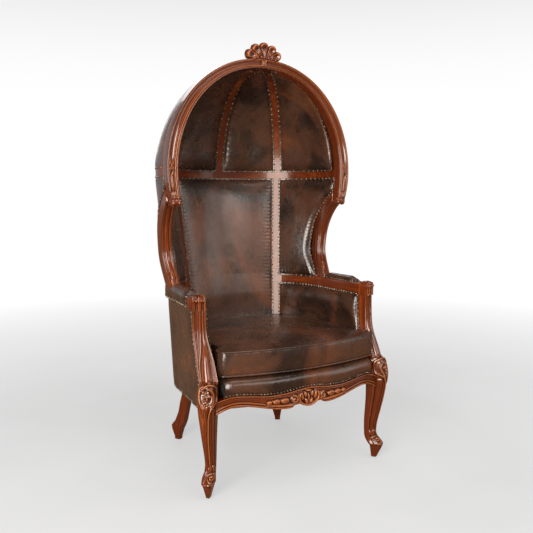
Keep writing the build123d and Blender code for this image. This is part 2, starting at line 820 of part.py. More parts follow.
with BuildPart() as seat_deck:
    for level in (webbing_level + strap_thickness + seam, deck_top):
        add(seat_plan(level, pad_crown + deck_gap, border_setback + border_depth + seam))
    loft(ruled=True)
    for room in both_leg_rooms:
        add(room, mode=Mode.SUBTRACT)
save(seat_deck.part, "seat_deck")

with BuildPart() as dust_cover:
    add(seat_plan(rail_underside, seam, rail_depth + seam))
    extrude(amount=dust_thickness)
    for room in both_leg_rooms:
        add(room, mode=Mode.SUBTRACT)
save(dust_cover.part, "dust_cover")


# Seat cushion: a loose T shape with a bowed front, drawn-in sides and a crown
cushion_middle = (cushion_ear_front + low_back) / 2


# The cushion's plan, counted from its own middle
def cushion_plan():
    back_centre, back_radius, side_centre, side_radius = plan_at(cushion_bottom)
    turn = joint_angle(cushion_bottom)
    gap = pad_crown + cushion_gap
    x, y, width = support_at(cushion_bottom)
    waist = x - width / 2 * cos(radians(support_turn)) - gap
    with BuildSketch() as plan:
        with BuildLine():
            CenterArc((0, back_centre), back_radius - gap, 90 - turn, 2 * turn)
            for side in (1, -1):
                start = 90 - side * turn
                centre = (side * side_centre[0], side_centre[1])
                flank = CenterArc(centre, side_radius - gap, start, -side * (90 - turn))
                Polyline(
                    flank @ 1,
                    (side * waist, cushion_ear_back),
                    (side * cushion_ear, cushion_ear_back - cushion_round),
                    (side * cushion_ear, cushion_ear_front),
                )
            ThreePointArc(
                (-cushion_ear, cushion_ear_front),
                (0, cushion_ear_front - cushion_bow),
                (cushion_ear, cushion_ear_front),
            )
        make_face()
        fillet(plan.vertices().group_by(Axis.Y)[0], cushion_round)
    return Pos(0, -cushion_middle) * plan.sketch


cushion_sections = (
    (cushion_bottom, cushion_draw_share),
    (cushion_bottom + cushion_edge, 1),
    (cushion_bottom + cushion_height / 2, cushion_waist_share),
    (cushion_top - cushion_edge, 1),
    (cushion_top, cushion_draw_share),
    (cushion_top + cushion_crown * cushion_shoulder_rise_share, cushion_shoulder_share),
    (cushion_top + cushion_crown, cushion_crown_share),
)
with BuildPart() as seat_cushion:
    for level, share in cushion_sections:
        add(Pos(0, cushion_middle, level) * scale(cushion_plan(), by=share, mode=Mode.PRIVATE))
    loft(ruled=True)
save(seat_cushion.part, "seat_cushion")
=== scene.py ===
import math

import bmesh
import bpy
import numpy as np
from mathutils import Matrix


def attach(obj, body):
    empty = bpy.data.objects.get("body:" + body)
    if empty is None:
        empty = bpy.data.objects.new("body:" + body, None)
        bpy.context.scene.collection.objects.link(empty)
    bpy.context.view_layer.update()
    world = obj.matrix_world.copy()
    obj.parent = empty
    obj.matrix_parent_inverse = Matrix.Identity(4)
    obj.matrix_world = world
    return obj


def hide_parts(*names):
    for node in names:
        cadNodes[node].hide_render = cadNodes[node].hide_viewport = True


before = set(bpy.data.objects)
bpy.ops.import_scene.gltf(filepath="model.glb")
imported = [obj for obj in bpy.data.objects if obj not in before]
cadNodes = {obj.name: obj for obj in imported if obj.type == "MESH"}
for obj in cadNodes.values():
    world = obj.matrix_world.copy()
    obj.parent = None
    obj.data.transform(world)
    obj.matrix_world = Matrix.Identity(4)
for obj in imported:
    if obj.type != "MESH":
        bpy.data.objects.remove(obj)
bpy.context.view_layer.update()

print("hall porter chair: frame loaded,", len(cadNodes), "solids")
upright = math.pi / 2

# The wall's plan, at the rail, the arms and the hoop: an arc across the back and one round each side
wall = {
    "levels": (0.31, 0.7, 1.142), "halfWidth": (0.303, 0.32, 0.36), "back": (0.224, 0.296, 0.358),
    "radiusShare": (1.089, 1.125, 1.125), "turn": (50.8, 41.8, 41.8), "thickness": (0.055, 0.037, 0.03),
    "stileShare": (0.747, 0.977, 0.983), "stileWidth": 0.042, "frameBack": -0.012, "seam": 0.0003, "arms": 0.7,
}


def atLevel(z, name):
    return float(np.interp(z, wall["levels"], wall[name]))


def planAt(z):
    half, back, turn = atLevel(z, "halfWidth"), atLevel(z, "back"), math.radians(atLevel(z, "turn"))
    radius = half * atLevel(z, "radiusShare")
    side = (half - radius * math.sin(turn)) / (1 - math.sin(turn))
    return back - radius, radius, turn, half - side, back - radius + (radius - side) * math.cos(turn), side


# Angles of a stile's outer and inner flank, from the chair's centre line
def stileFlanks(z):
    outer = math.radians(atLevel(z, "turn")) * atLevel(z, "stileShare")
    return outer, outer - wall["stileWidth"] / planAt(z)[1]


def unit(vectors):
    return vectors / np.maximum(np.linalg.norm(vectors, axis=-1, keepdims=True), 1e-12)


# Running length along a line of points, and its points at such lengths
def runLength(line):
    return np.concatenate([[0], np.cumsum(np.linalg.norm(np.diff(line, axis=0), axis=1))])


def pointsAt(at, run, line):
    return np.stack([np.interp(at, run, column) for column in np.asarray(line).T], 1)


# Points of a plan at a height, or at a height each
def lifted(plan, z):
    return np.column_stack([plan, np.broadcast_to(z, len(plan))])


# Points along the wall at a height, at shares of the way from an angle of the back arc to the front.
# The line ends at the last front point, or where it has come as far forward as endY
def wallRow(z, offset, start, front, shares, endY=None):
    centre, radius, turn, sideX, sideY, side = planAt(z)
    back, flank, front = np.linspace(start, turn, 60), np.linspace(turn, upright, 60)[1:], np.atleast_2d(front)
    reach, side = radius + offset, side + offset
    x = np.concatenate([reach * np.sin(back), sideX + side * np.sin(flank), front[:, 0]])
    y = np.concatenate([centre + reach * np.cos(back), sideY + side * np.cos(flank), front[:, 1]])
    line = np.stack([x, y], 1)
    run = runLength(line)
    end = run[-1] if endY is None else float(np.interp(-endY, -y, run))
    return lifted(pointsAt(end * shares, run, line), z)


# A smooth line through points, in even steps of its parameter
def smoothLine(points, count):
    p = np.array(points, float)
    n = len(p)
    system = np.diag([4.0] * n) + np.diag([1.0] * (n - 1), 1) + np.diag([1.0] * (n - 1), -1)
    system[0, 0] = system[-1, -1] = 2
    m = np.linalg.solve(system, 3 * np.concatenate([[p[1] - p[0]], p[2:] - p[:-2], [p[-1] - p[-2]]]))
    t = np.linspace(0, n - 1, count)
    i = np.minimum(t.astype(int), n - 2)
    u = (t - i)[:, None]
    return (p[i] * (2 * u**3 - 3 * u**2 + 1) + m[i] * (u**3 - 2 * u**2 + u)
            + p[i + 1] * (3 * u**2 - 2 * u**3) + m[i + 1] * (u**3 - u**2))


# Shapes of one number: an eased step, one up and one down again, a bell, a half round, and a quarter round
def smoothStep(x, low, high):
    t = np.clip((x - low) / (high - low), 0, 1)
    return t * t * (3 - 2 * t)


def window(x, low, full, ending, end):
    return smoothStep(x, low, full) * (1 - smoothStep(x, ending, end))


def bell(x, middle, width):
    return np.exp(-(((x - middle) / width) ** 2))


def halfRound(x):
    return np.sqrt(np.clip(1 - x**2, 0, 1))


def rollOver(distance, width):
    return halfRound(1 - np.clip(distance / width, 0, 1))


# Normals of a grid of points, turned towards a side of it
def gridNormals(grid, towards):
    normals = unit(np.cross(np.gradient(grid, axis=1), np.gradient(grid, axis=0)))
    return normals if np.sum(normals * (towards - grid), axis=2).mean() > 0 else -normals


def gridFaces(rows, columns, first=0, round=False):
    i, j = np.meshgrid(np.arange(rows - 1), np.arange(columns if round else columns - 1), indexing="ij")
    k = (j + 1) % columns
    corners = (i * columns + j, i * columns + k, (i + 1) * columns + k, (i + 1) * columns + j)
    return (first + np.stack(corners, -1)).reshape(-1, 4)


# The flat faces that close the two ends of a stack of rings
def endFaces(rows, columns):
    return [tuple(range(columns)), tuple(range((rows - 1) * columns, rows * columns))]


def pairOf(name):
    return [name + "_right", name + "_left"]


def link(name, data):
    item = bpy.data.objects.new(name, data)
    bpy.context.scene.collection.objects.link(item)
    return item


def fixNormals(piece):
    bm = bmesh.new()
    bm.from_mesh(piece.data)
    bmesh.ops.recalc_face_normals(bm, faces=bm.faces)
    bm.to_mesh(piece.data)
    bm.free()


def addMesh(name, points, faces, material, slot=None, body="chair", replaces=(), attributes=(), smooth=True):
    mesh = bpy.data.meshes.new(name)
    mesh.from_pydata(np.asarray(points, float).reshape(-1, 3).tolist(), [], [list(f) for f in faces])
    mesh.validate()
    for key, values in attributes:
        values = np.asarray(values, np.float32)
        kind, field = ("FLOAT_VECTOR", "vector") if values.ndim == 2 else ("FLOAT", "value")
        mesh.attributes.new(key, kind, "POINT").data.foreach_set(field, values.ravel())
    if smooth:
        mesh.shade_smooth()
    mesh.materials.append(material)
    piece = link(name, mesh)
    fixNormals(piece)
    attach(piece, body)
    if replaces:
        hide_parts(*replaces)
    return piece


# One closed body between two grids of the same size
def closedBetween(front, back):
    rows, columns = front.shape[:2]
    count, top = rows * columns, np.arange(columns)
    rim = np.concatenate([top, np.arange(1, rows) * columns + columns - 1, (rows - 1) * columns + top[::-1][1:],
                          np.arange(rows - 2, 0, -1) * columns])
    following = np.roll(rim, -1)
    faces = [gridFaces(rows, columns), gridFaces(rows, columns, count)[:, ::-1],
             np.stack([rim, rim + count, following + count, following], 1)]
    return np.concatenate([front.reshape(-1, 3), back.reshape(-1, 3)]), np.concatenate(faces)


# Evens out a grid of values; round means that its columns close on themselves
def blurred(values, passes, round=False):
    for _ in range(passes):
        padded = np.pad(values, ((1, 1), (0, 0)), mode="edge")
        values = (padded[:-2] + 2 * values + padded[2:]) / 4
        padded = np.pad(values, ((0, 0), (1, 1)), mode="wrap" if round else "edge")
        values = (padded[:, :-2] + 2 * values + padded[:, 2:]) / 4
    return values


# How far each place of a relief is raised over what is round it, from -1 in a recess to 1 on an edge
def cavityOf(relief, passes, depth, round=False):
    return np.clip((relief - blurred(relief, passes, round)) / depth, -1, 1)


# Carved wood, gathered part by part, with its grain and the depth of its recesses for the lacquer
class Carving:
    def __init__(self, blur=16):
        self.parts, self.faces, self.count, self.blur = [], [], 0, blur

    def addPart(self, points, faces, cavity, grain):
        self.faces += [tuple(int(corner) + self.count for corner in face) for face in faces]
        self.parts.append((points.reshape(-1, 3), cavity.ravel(), grain.reshape(-1, 3)))
        self.count += len(self.parts[-1][0])

    # A member made of closed rings, raised along their normals by a relief
    def addRings(self, rings, relief=None):
        rows, columns = rings.shape[:2]
        relief = np.zeros((rows, columns)) if relief is None else relief
        middle = rings.mean(1)
        outward = rings - middle[:, None]
        normals = unit(np.cross(np.roll(rings, -1, 1) - np.roll(rings, 1, 1), np.gradient(rings, axis=0)))
        if (normals * outward).sum() < 0:
            normals = -normals
        u = unit(outward[:, 0])
        v = np.cross(unit(np.gradient(middle, axis=0)), u)
        run = np.broadcast_to(runLength(middle)[:, None], (rows, columns))
        grain = np.stack([run, (outward * u[:, None]).sum(2), (outward * v[:, None]).sum(2)], -1)
        faces = [tuple(face) for face in gridFaces(rows, columns, round=True)] + endFaces(rows, columns)
        self.addPart(rings + normals * relief[..., None], faces, cavityOf(relief, self.blur, 0.0016, True), grain)

    # A board between a carved front and a back
    def addBoard(self, front, back, height, passes, grain):
        cavity = cavityOf(height, passes, 0.0018)
        points, faces = closedBetween(front, back)
        self.addPart(points, faces, np.concatenate([cavity, 0 * cavity]), np.concatenate([grain, grain]))

    # A carved lump: a ball stretched to its radii, with a relief by its angles
    def addLump(self, place, radii, rows, columns, relief=None, power=1.0):
        tilt, spin = np.meshgrid(np.linspace(0.03 - upright, upright - 0.03, rows),
                                 np.linspace(0, 2 * math.pi, columns, endpoint=False), indexing="ij")
        ball = (np.cos(tilt) * np.cos(spin), np.cos(tilt) * np.sin(spin), np.sin(tilt))
        shape = np.stack([np.sign(v) * np.abs(v) ** power for v in ball], -1) * np.array(radii)
        self.addRings(shape + np.array(place), relief(tilt, spin) if relief else None)

    # The finished piece on the right, and its twin on the left where it is one of a pair
    def place(self, name, nodeNames=(), pair=True):
        points, cavity, grain = [np.concatenate(part) for part in zip(*self.parts)]
        for index, suffix in enumerate(("Right", "Left") if pair else ("",)):
            shift = np.array([0.37 * len(name) + 1.9 * index, 0.11 * len(name), 0.07 * index])
            addMesh(name + suffix, points * np.array([1 - 2 * index, 1, 1]), self.faces, woodCarved, "mahogany",
                    replaces=nodeNames[index:index + 1], attributes=(("cavity", cavity), ("grain", grain + shift)))


# A pair of members made of closed rings, carved on the front face
def carveFront(name, nodeNames, rings, front, height, blur=16):
    relief, carving = np.zeros(rings.shape[:2]), Carving(blur)
    relief[:, front] = height
    carving.addRings(rings, relief)
    carving.place(name, nodeNames)


# Rings through four corner lines: inner rear, inner front, outer front, outer rear. Gives the columns
# of the front face too, and how far across it each one lies
def mouldedRings(corners, settings, arc=4):
    counts, rounding, columns, frontStart = settings["counts"], settings["rounding"], [], 0
    for index in range(4):
        last, here, following = corners[index - 1], corners[index], corners[(index + 1) % 4]
        inWay, outWay = unit(here - last), unit(following - here)
        for turn in np.arange(arc) / arc * upright:
            inward, outward = inWay * rounding * (1 - math.sin(turn)), outWay * rounding * (1 - math.cos(turn))
            columns.append(here - inward + outward)
        frontStart = len(columns) if index == 1 else frontStart
        start, end = here + outWay * rounding, following - outWay * rounding
        columns += [start + (end - start) * share for share in np.arange(counts[index]) / counts[index]]
    across = np.arange(counts[1] + 1) / counts[1]
    return np.stack(columns, 1), slice(frontStart, frontStart + counts[1] + 1), across


# Height of a moulding at shares of its width. Each member is round or hollow, from a share to a share,
# and has a level at its edges and a rise in its middle; the quirks between them are sunk
def moulding(share, members, quirk):
    height = np.full(share.shape, -quirk)
    for kind, start, end, level, rise in members:
        across = (share - start) / (end - start)
        bow = np.clip(1 - (2 * across - 1) ** 2, 0, 1) ** (0.5 if kind == "round" else 1)
        height = np.where((across >= 0) & (across <= 1), level + rise * bow, height)
    return height


def lineDistance(x, y, line):
    nearest = np.full(np.broadcast(x, y).shape, 9.0)
    for (startX, startY), (endX, endY) in zip(line, line[1:]):
        alongX, alongY = endX - startX, endY - startY
        share = np.clip(((x - startX) * alongX + (y - startY) * alongY) / (alongX**2 + alongY**2), 0, 1)
        nearest = np.minimum(nearest, np.hypot(x - startX - share * alongX, y - startY - share * alongY))
    return nearest


# Carved forms on a surface. Each stands on a ground of its own, and shows where it is higher than the rest
class Relief:
    def __init__(self, x, y, height):
        self.x, self.y, self.height = x, y, height

    def rise(self, bump, ground=0.0):
        self.height = np.where(bump > 0, np.maximum(self.height, ground + bump), self.height)

    def ridge(self, line, half, tall, ground=0.0):
        self.rise(tall * halfRound(lineDistance(self.x, self.y, line) / half), ground)

    def coil(self, place, radius, turns, start, way, half, tall, ground):
        t = np.linspace(0, 1, 40)
        angle, reach = start + way * 2 * math.pi * turns * t, radius * (1 - 0.82 * t)
        line = zip(place[0] + reach * np.cos(angle), place[1] + reach * np.sin(angle))
        self.ridge(list(line), half, tall, ground)

    # The shape of a petal with a vein, narrower at its tip
    def petalShape(self, place, size, turn, tall, vein=0.0, taper=0.0):
        c, s = math.cos(turn), math.sin(turn)
        along = ((self.x - place[0]) * c + (self.y - place[1]) * s) / size[0]
        across = ((self.y - place[1]) * c - (self.x - place[0]) * s) / size[1] / np.clip(1 - taper * along, 0.2, 2)
        bump = tall * np.sqrt(np.clip(1 - along**2 - across**2, 0, 1))
        return np.maximum(bump - vein * bell(across, 0, 0.18) * (bump > 0), 0)

    def petal(self, place, size, turn, tall, ground, vein=0.0, taper=0.0):
        self.rise(self.petalShape(place, size, turn, tall, vein, taper), ground)


print("stage: materials")


# Short forms for node trees
class Tree:
    def __init__(self, name="", tree=None, shader="Principled BSDF"):
        self.material = None if tree else bpy.data.materials.new(name)
        if not tree:
            self.material.use_nodes = True
            tree = self.material.node_tree
        self.nodes, self.links, self.shader = tree.nodes, tree.links, tree.nodes[shader]

    # A socket takes a link from another one, or a value of its own
    def put(self, socket, value):
        if isinstance(value, bpy.types.NodeSocket):
            self.links.new(value, socket)
        else:
            socket.default_value = (*value, 1) if socket.type == "RGBA" else value

    def add(self, kind, inputs=(), output=0, **settings):
        node = self.nodes.new("ShaderNode" + kind)
        for key, value in settings.items():
            setattr(node, key, value)
        for key, value in dict(inputs).items():
            self.put(node.inputs[key], value)
        return node.outputs[output]

    def place(self):
        return self.add("TexCoord", output="Object")

    def noise(self, vector, scale, detail=4.0, roughness=0.55, distortion=0.0):
        return self.add("TexNoise", {"Vector": vector, "Scale": scale, "Detail": detail, "Roughness": roughness,
                                     "Distortion": distortion}, "Fac")

    def stretched(self, vector, scale):
        return self.add("Mapping", {"Vector": vector, "Scale": scale})

    def ramp(self, factor, stops):
        colour = self.add("ValToRGB", {"Fac": factor})
        ramp = colour.node.color_ramp
        ramp.interpolation = "EASE"
        while len(ramp.elements) < len(stops):
            ramp.elements.new(0.5)
        for element, (place, shade) in zip(ramp.elements, stops):
            element.position, element.color = place, (*shade, 1)
        return colour

    def range(self, value, low, high, newLow, newHigh):
        return self.add("MapRange", {0: value, 1: low, 2: high, 3: newLow, 4: newHigh})

    def mix(self, factor, a, b, blend="MIX"):
        return self.add("Mix", {0: factor, 6: a, 7: b}, 2, data_type="RGBA", blend_type=blend)

    def math(self, operation, a, b):
        return self.add("Math", {0: a, 1: b}, operation=operation)

    def mixShaders(self, factor, a, b):
        return self.add("MixShader", {0: factor, 1: a, 2: b})

    def bump(self, height, strength, distance, below=None):
        inputs = {"Height": height, "Strength": strength, "Distance": distance}
        return self.add("Bump", inputs if below is None else {**inputs, "Normal": below})

    def finish(self, **sockets):
        for key, value in sockets.items():
            self.put(self.shader.inputs[key.replace("_", " ")], value)
        return self.material


# The lacquer's recess colour is painted shade together with dark stain, and its edge colour is a painted highlight
lacquer = {
    "dark": (0.034, 0.005, 0.0012), "middle": (0.112, 0.0175, 0.0031), "light": (0.35, 0.078, 0.0125),
    "recessShadeAndStain": (0.009, 0.0017, 0.0007), "edge": (0.44, 0.135, 0.03), "sheenTint": (1.0, 0.74, 0.56),
}


# Lacquered mahogany: long streaks along the grain, painted shade together with dark stain in the recesses, a painted
# highlight on raised edges
def lacqueredWood(name, along=None):
    t = Tree(name)
    carved = along is None
    vector = t.add("Attribute", output="Vector", attribute_name="grain") if carved else t.place()
    stretch = [3.0 if axis == (along or "X") else 60.0 for axis in "XYZ"]
    fine = t.noise(t.stretched(vector, [4 * s for s in stretch]), 1.0, 6, 0.65, 0.3)
    broad = t.noise(t.stretched(vector, [0.32 * s for s in stretch]), 1.0, 3, 0.5, 0.8)
    streaks = t.math("ADD", t.math("MULTIPLY", fine, 0.45), t.math("MULTIPLY", broad, 0.55))
    colour = t.ramp(streaks, [(0.3, lacquer["dark"]), (0.52, lacquer["middle"]), (0.76, lacquer["light"])])
    cavity = t.add("Attribute", output="Fac", attribute_name="cavity")
    # Painted shade: recesses darken towards near-black, along with the dark stain there
    colour = t.mix(t.range(cavity, 0.0, -0.9, 0.0, 0.95), colour, lacquer["recessShadeAndStain"])
    # Painted highlight: raised edges and beads turn a lighter orange
    colour = t.mix(t.range(cavity, 0.2, 1.0, 0.0, 0.55), colour, lacquer["edge"])
    dull, coat = (0.0, 0.85) if carved else (0.09, 0.3)
    return t.finish(Base_Color=colour, Roughness=t.range(broad, 0.3, 0.7, 0.14 + dull, 0.23 + dull),
                    Normal=t.bump(fine, 0.1, 0.0005), Specular_IOR_Level=0.42, Specular_Tint=lacquer["sheenTint"],
                    Coat_Weight=coat, Coat_Roughness=0.07)


hide = {
    "deep": (0.016, 0.007, 0.004), "brown": (0.06, 0.0225, 0.011), "warm": (0.15, 0.042, 0.013),
    "scratch": (0.22, 0.145, 0.105), "sheenTint": (1.0, 0.9, 0.8), "gloss": 0.27,
}


# Antiqued leather: dark clouds over a warm brown, a fine grain, light scuffs
def antiquedLeather(name, depth):
    t = Tree(name)
    vector = t.place()
    clouds = t.noise(vector, 5.5, 5, 0.6, 0.6)
    patches = t.noise(t.stretched(vector, (1.0, 1.0, 0.6)), 3.2, 3, 0.5, 1.2)
    colour = t.ramp(clouds, [(0.36, hide["deep"]), (0.56, hide["brown"]), (0.8, hide["warm"])])
    colour = t.mix(t.range(patches, 0.52, 0.72, 0.0, 0.75 * depth), colour, hide["warm"])
    scuffs = t.noise(t.stretched(vector, (26.0, 26.0, 190.0)), 1.0, 2, 0.5, 2.0)
    colour = t.mix(t.range(scuffs, 0.7, 0.8, 0.0, 0.32), colour, hide["scratch"])
    pebble = t.add("TexVoronoi", {"Vector": vector, "Scale": 520.0}, "Distance", feature="DISTANCE_TO_EDGE")
    normal = t.bump(t.range(pebble, 0.0, 0.25, 0.0, 1.0), 0.16, 0.0004)
    creases = t.noise(vector, 70.0, 4, 0.6, 1.5)
    folds = t.noise(t.stretched(vector, (13.0, 13.0, 6.0)), 1.0, 3, 0.5, 2.5)
    normal = t.bump(folds, 0.3, 0.006, t.bump(creases, 0.18, 0.0012, normal))
    rough = t.range(t.noise(vector, 24.0, 4, 0.6), 0.3, 0.7, hide["gloss"] - 0.06, hide["gloss"] + 0.09)
    return t.finish(Base_Color=colour, Roughness=rough, Normal=normal, Specular_IOR_Level=0.66,
                    Specular_Tint=hide["sheenTint"], Coat_Weight=0.42, Coat_Roughness=0.2)


def antiqueBrass(name):
    t = Tree(name)
    tarnish = t.noise(t.place(), 90.0, 4, 0.6)
    colour = t.ramp(tarnish, [(0.32, (0.11, 0.07, 0.045)), (0.62, (0.48, 0.38, 0.27))])
    return t.finish(Base_Color=colour, Roughness=t.range(tarnish, 0.3, 0.7, 0.42, 0.24), Metallic=1.0)


def plainCloth(name, dark, light, threads):
    t = Tree(name)
    vector = t.place()
    waves = {"Vector": vector, "Scale": threads, "Distortion": 0.4}
    weave = t.math("MULTIPLY", *[t.add("TexWave", waves, "Fac", bands_direction=axis) for axis in "XY"])
    shade = t.math("ADD", t.math("MULTIPLY", weave, 0.5), t.math("MULTIPLY", t.noise(vector, 18.0), 0.5))
    colour = t.ramp(shade, [(0.2, dark), (0.8, light)])
    return t.finish(Base_Color=colour, Roughness=0.9, Normal=t.bump(weave, 0.4, 0.0005))


def bareWood(name, along):
    t = Tree(name)
    grain = t.noise(t.stretched(t.place(), [4.0 if axis == along else 80.0 for axis in "XYZ"]), 1.0, 5, 0.6, 0.4)
    colour = t.ramp(grain, [(0.3, (0.26, 0.15, 0.07)), (0.7, (0.5, 0.34, 0.18))])
    return t.finish(Base_Color=colour, Roughness=0.62, Normal=t.bump(grain, 0.2, 0.0005))


woodCarved = lacqueredWood("mahoganyCarved")
woodAlong = {axis: lacqueredWood("mahogany" + axis, axis) for axis in "XYZ"}
leather, leatherSeat = antiquedLeather("leatherAntiqued", 1.0), antiquedLeather("leatherSeat", 0.8)
brass = antiqueBrass("brassAntique")

print("stage: camera, light and floor")
studio = {
    "cameraPlace": (-1.2556, -2.2984, 1.0648), "yaw": 29.403, "pitch": 6.537, "lens": 43.886,
    "floorDark": (0.44, 0.43, 0.42), "floorPale": (0.5, 0.49, 0.48), "mirroredFloor": (0.22, 0.14, 0.09),
    "skyColour": (0.95, 0.97, 1.0), "skyStrength": 0.42, "horizon": (1.0, 1.0, 1.0), "overhead": (0.3, 0.3, 0.31),
    "roomFront": (0.12, 0.12, 0.13), "roomBack": (0.42, 0.42, 0.43),
    "floorRadius": 14.0, "floorLevel": -0.0005, "glowNear": 1.0, "glowFar": 4.2, "glowLeast": 0.46,
    "lamps": {                                                      # place, aim, size, power
        "keyLight": ((-2.35, -2.15, 1.45), (0, 0, 0.95), (1.7, 2.3), 142.0),
        "fillLight": ((2.6, -2.2, 1.6), (0, 0, 0.8), (1.6, 2.0), 15.0),
        "topLight": ((0.1, -0.9, 3.2), (0, 0, 0.8), (2.0, 1.6), 24.0),
        "frontLight": ((0.75, -3.5, 2.15), (0, 0, 0.6), (2.6, 0.9), 26.0),
        "rimLight": ((0.6, 2.6, 2.2), (0, 0, 1.0), (2.0, 1.6), 14.0),
    },
}
cameraData = bpy.data.cameras.new("camera")
cameraData.lens, cameraData.sensor_width = studio["lens"], 36.0
camera = link("camera", cameraData)
camera.location = studio["cameraPlace"]
camera.rotation_euler = (math.radians(90 - studio["pitch"]), 0, math.radians(-studio["yaw"]))
bpy.context.scene.camera = camera
bpy.context.scene.view_settings.view_transform = "Standard"

for name, (place, aim, size, power) in studio["lamps"].items():
    data = bpy.data.lights.new(name, "AREA")
    data.shape, data.size, data.size_y, data.energy = "RECTANGLE", size[0], size[1], power
    lamp = link(name, data)
    lamp.location = place
    x, y, z = [a - b for a, b in zip(aim, place)]
    lamp.rotation_euler = (math.atan2(math.hypot(x, y), -z), 0, math.atan2(y, x) - upright)

# The sky lights the chair, and is white at the horizon where it is seen or mirrored
world = bpy.data.worlds.new("studioWorld")
bpy.context.scene.world = world
world.use_nodes = True
sky = Tree(tree=world.node_tree, shader="Background")
sky.finish(Color=studio["skyColour"], Strength=studio["skyStrength"])
way = sky.add("SeparateXYZ", {"Vector": sky.add("TexCoord")}).node.outputs
rays = sky.add("LightPath").node.outputs
backdrop = sky.ramp(way["Z"], [(0.12, studio["horizon"]), (0.62, studio["overhead"])])
room = sky.mix(sky.range(way["Y"], -0.2, 0.6, 0.0, 1.0), studio["roomFront"], studio["roomBack"])
mirror = sky.add("Background", {"Color": sky.mix(1.0, backdrop, room, "MULTIPLY")})
seen = sky.add("Background", {"Color": backdrop})
glossy = sky.math("MAXIMUM", rays["Is Glossy Ray"], rays["Is Transmission Ray"])
unseen = sky.mixShaders(glossy, sky.shader.outputs[0], mirror)
sky.links.new(sky.mixShaders(rays["Is Camera Ray"], unseen, seen), sky.nodes["World Output"].inputs[0])

# The floor keeps the shadow and turns white far away; what mirrors it sees a warm, dim floor
ground = Tree("floorPale")
place = ground.place()
shade = ground.ramp(ground.noise(place, 1.2, 2), [(0.3, studio["floorDark"]), (0.7, studio["floorPale"])])
ground.finish(Base_Color=shade, Roughness=0.75, Specular_IOR_Level=0.2)
away = ground.add("VectorMath", {0: place}, "Value", operation="LENGTH")
rays = ground.add("LightPath").node.outputs
glow = ground.range(away, studio["glowNear"], studio["glowFar"], studio["glowLeast"], 1.0)
white, dim = [ground.add("Emission", {"Color": colour}) for colour in ((1, 1, 1), studio["mirroredFloor"])]
shown = ground.mixShaders(ground.math("MULTIPLY", glow, rays["Is Camera Ray"]), ground.shader.outputs[0], white)
shown = ground.mixShaders(rays["Is Glossy Ray"], shown, dim)
ground.links.new(shown, ground.nodes["Material Output"].inputs[0])
ring = np.linspace(0, 2 * math.pi, 96, endpoint=False)
floorMesh = bpy.data.meshes.new("floor")
disc = lifted(studio["floorRadius"] * np.stack([np.cos(ring), np.sin(ring)], 1), studio["floorLevel"])
floorMesh.from_pydata(disc.tolist(), [], [list(range(len(disc)))])
floorMesh.materials.append(ground.material)
link("floor", floorMesh)

print("stage: plain frame wood")
plainWood = {
    "edge": 0.0012, "sharp": 35.0,
    "nodes": {
        "back_stile_left": "Z", "back_stile_right": "Z", "rear_leg_left": "Z", "rear_leg_right": "Z",
        "dome_rib_centre": "Z", "dome_rib_left": "Z", "dome_rib_right": "Z", "hood_hoop": "X",
    },
    "bare": {"side_rail_left": "Y", "side_rail_right": "Y", "back_rail": "X", "seat_cleats": "X"},
}
for nodeName, along in (*plainWood["nodes"].items(), *plainWood["bare"].items()):
    node, bare = cadNodes[nodeName], nodeName in plainWood["bare"]
    node.data.materials.clear()
    node.data.materials.append(bareWood("railWood_" + nodeName, along) if bare else woodAlong[along])
    if not bare:
        rounding = node.modifiers.new("rounding", "BEVEL")
        rounding.width, rounding.segments, rounding.limit_method = plainWood["edge"], 2, "ANGLE"
        rounding.angle_limit, rounding.harden_normals = math.radians(plainWood["sharp"]), True

print("stage: face frame")
faceFrame = {
    "front": -0.057, "back": -0.012, "level": 1.142, "foot": 1.03, "fullness": 0.968,
    "inner": (0.36, 0.396, 0.352), "outer": (0.405, 0.4305, 0.386),   # half width, rise, half width at the foot
    "rows": 440, "counts": (12, 60, 16, 8), "rounding": 0.0022, "quirk": 0.0056,
    "members": (
        ("round", 0.0, 0.105, -0.0018, 0.0026), ("round", 0.13, 0.285, -0.0034, 0.0046),
        ("hollow", 0.32, 0.84, -0.0012, -0.0076), ("round", 0.868, 1.0, -0.0022, 0.0032),
    ),
    "hollow": (0.315, 0.845), "flat": -0.0012, "rim": 0.0011, "rimWidth": 0.0016, "edge": 0.0022,
    "crownGap": 0.006, "tipLength": 0.016, "tie": 1.16, "tieGap": 0.01, "pointLength": 0.03,
    "ribbons": ((0.002, 0.007), (0.0022, 0.0105)), "ribbonAside": 0.0085, "ribbonShape": (0.0026, -0.0018),
    "budTop": 1.132, "budFoot": 1.062, "budHalf": 0.0058, "bud": (0.0062, -0.005, 0.0012),
    "leafPlace": 0.022, "leafStep": 0.0095, "leafTurn": 0.25, "leafSize": (0.016, 0.0048),
    "leaf": (0.004, -0.002, 0.0009),                              # like the bud: height, ground, vein
}


# An edge of the arch: a quarter of a full ellipse from the crown, then a side that draws in to the foot
def archLine(size, count=700):
    f, (halfWidth, rise, foot) = faceFrame, size
    turn, t = np.linspace(upright, 0, count), np.linspace(0, 1, count // 4)[1:]
    cosine, sine = [np.clip(way(turn), 0, 1) ** f["fullness"] for way in (np.cos, np.sin)]
    arc = np.stack([np.maximum(halfWidth * cosine, wall["seam"] / 2), f["level"] + rise * sine], 1)
    side = np.stack([halfWidth * (1 - t**2) + foot * t**2, f["level"] - (f["level"] - f["foot"]) * t], 1)
    return np.concatenate([arc, side])


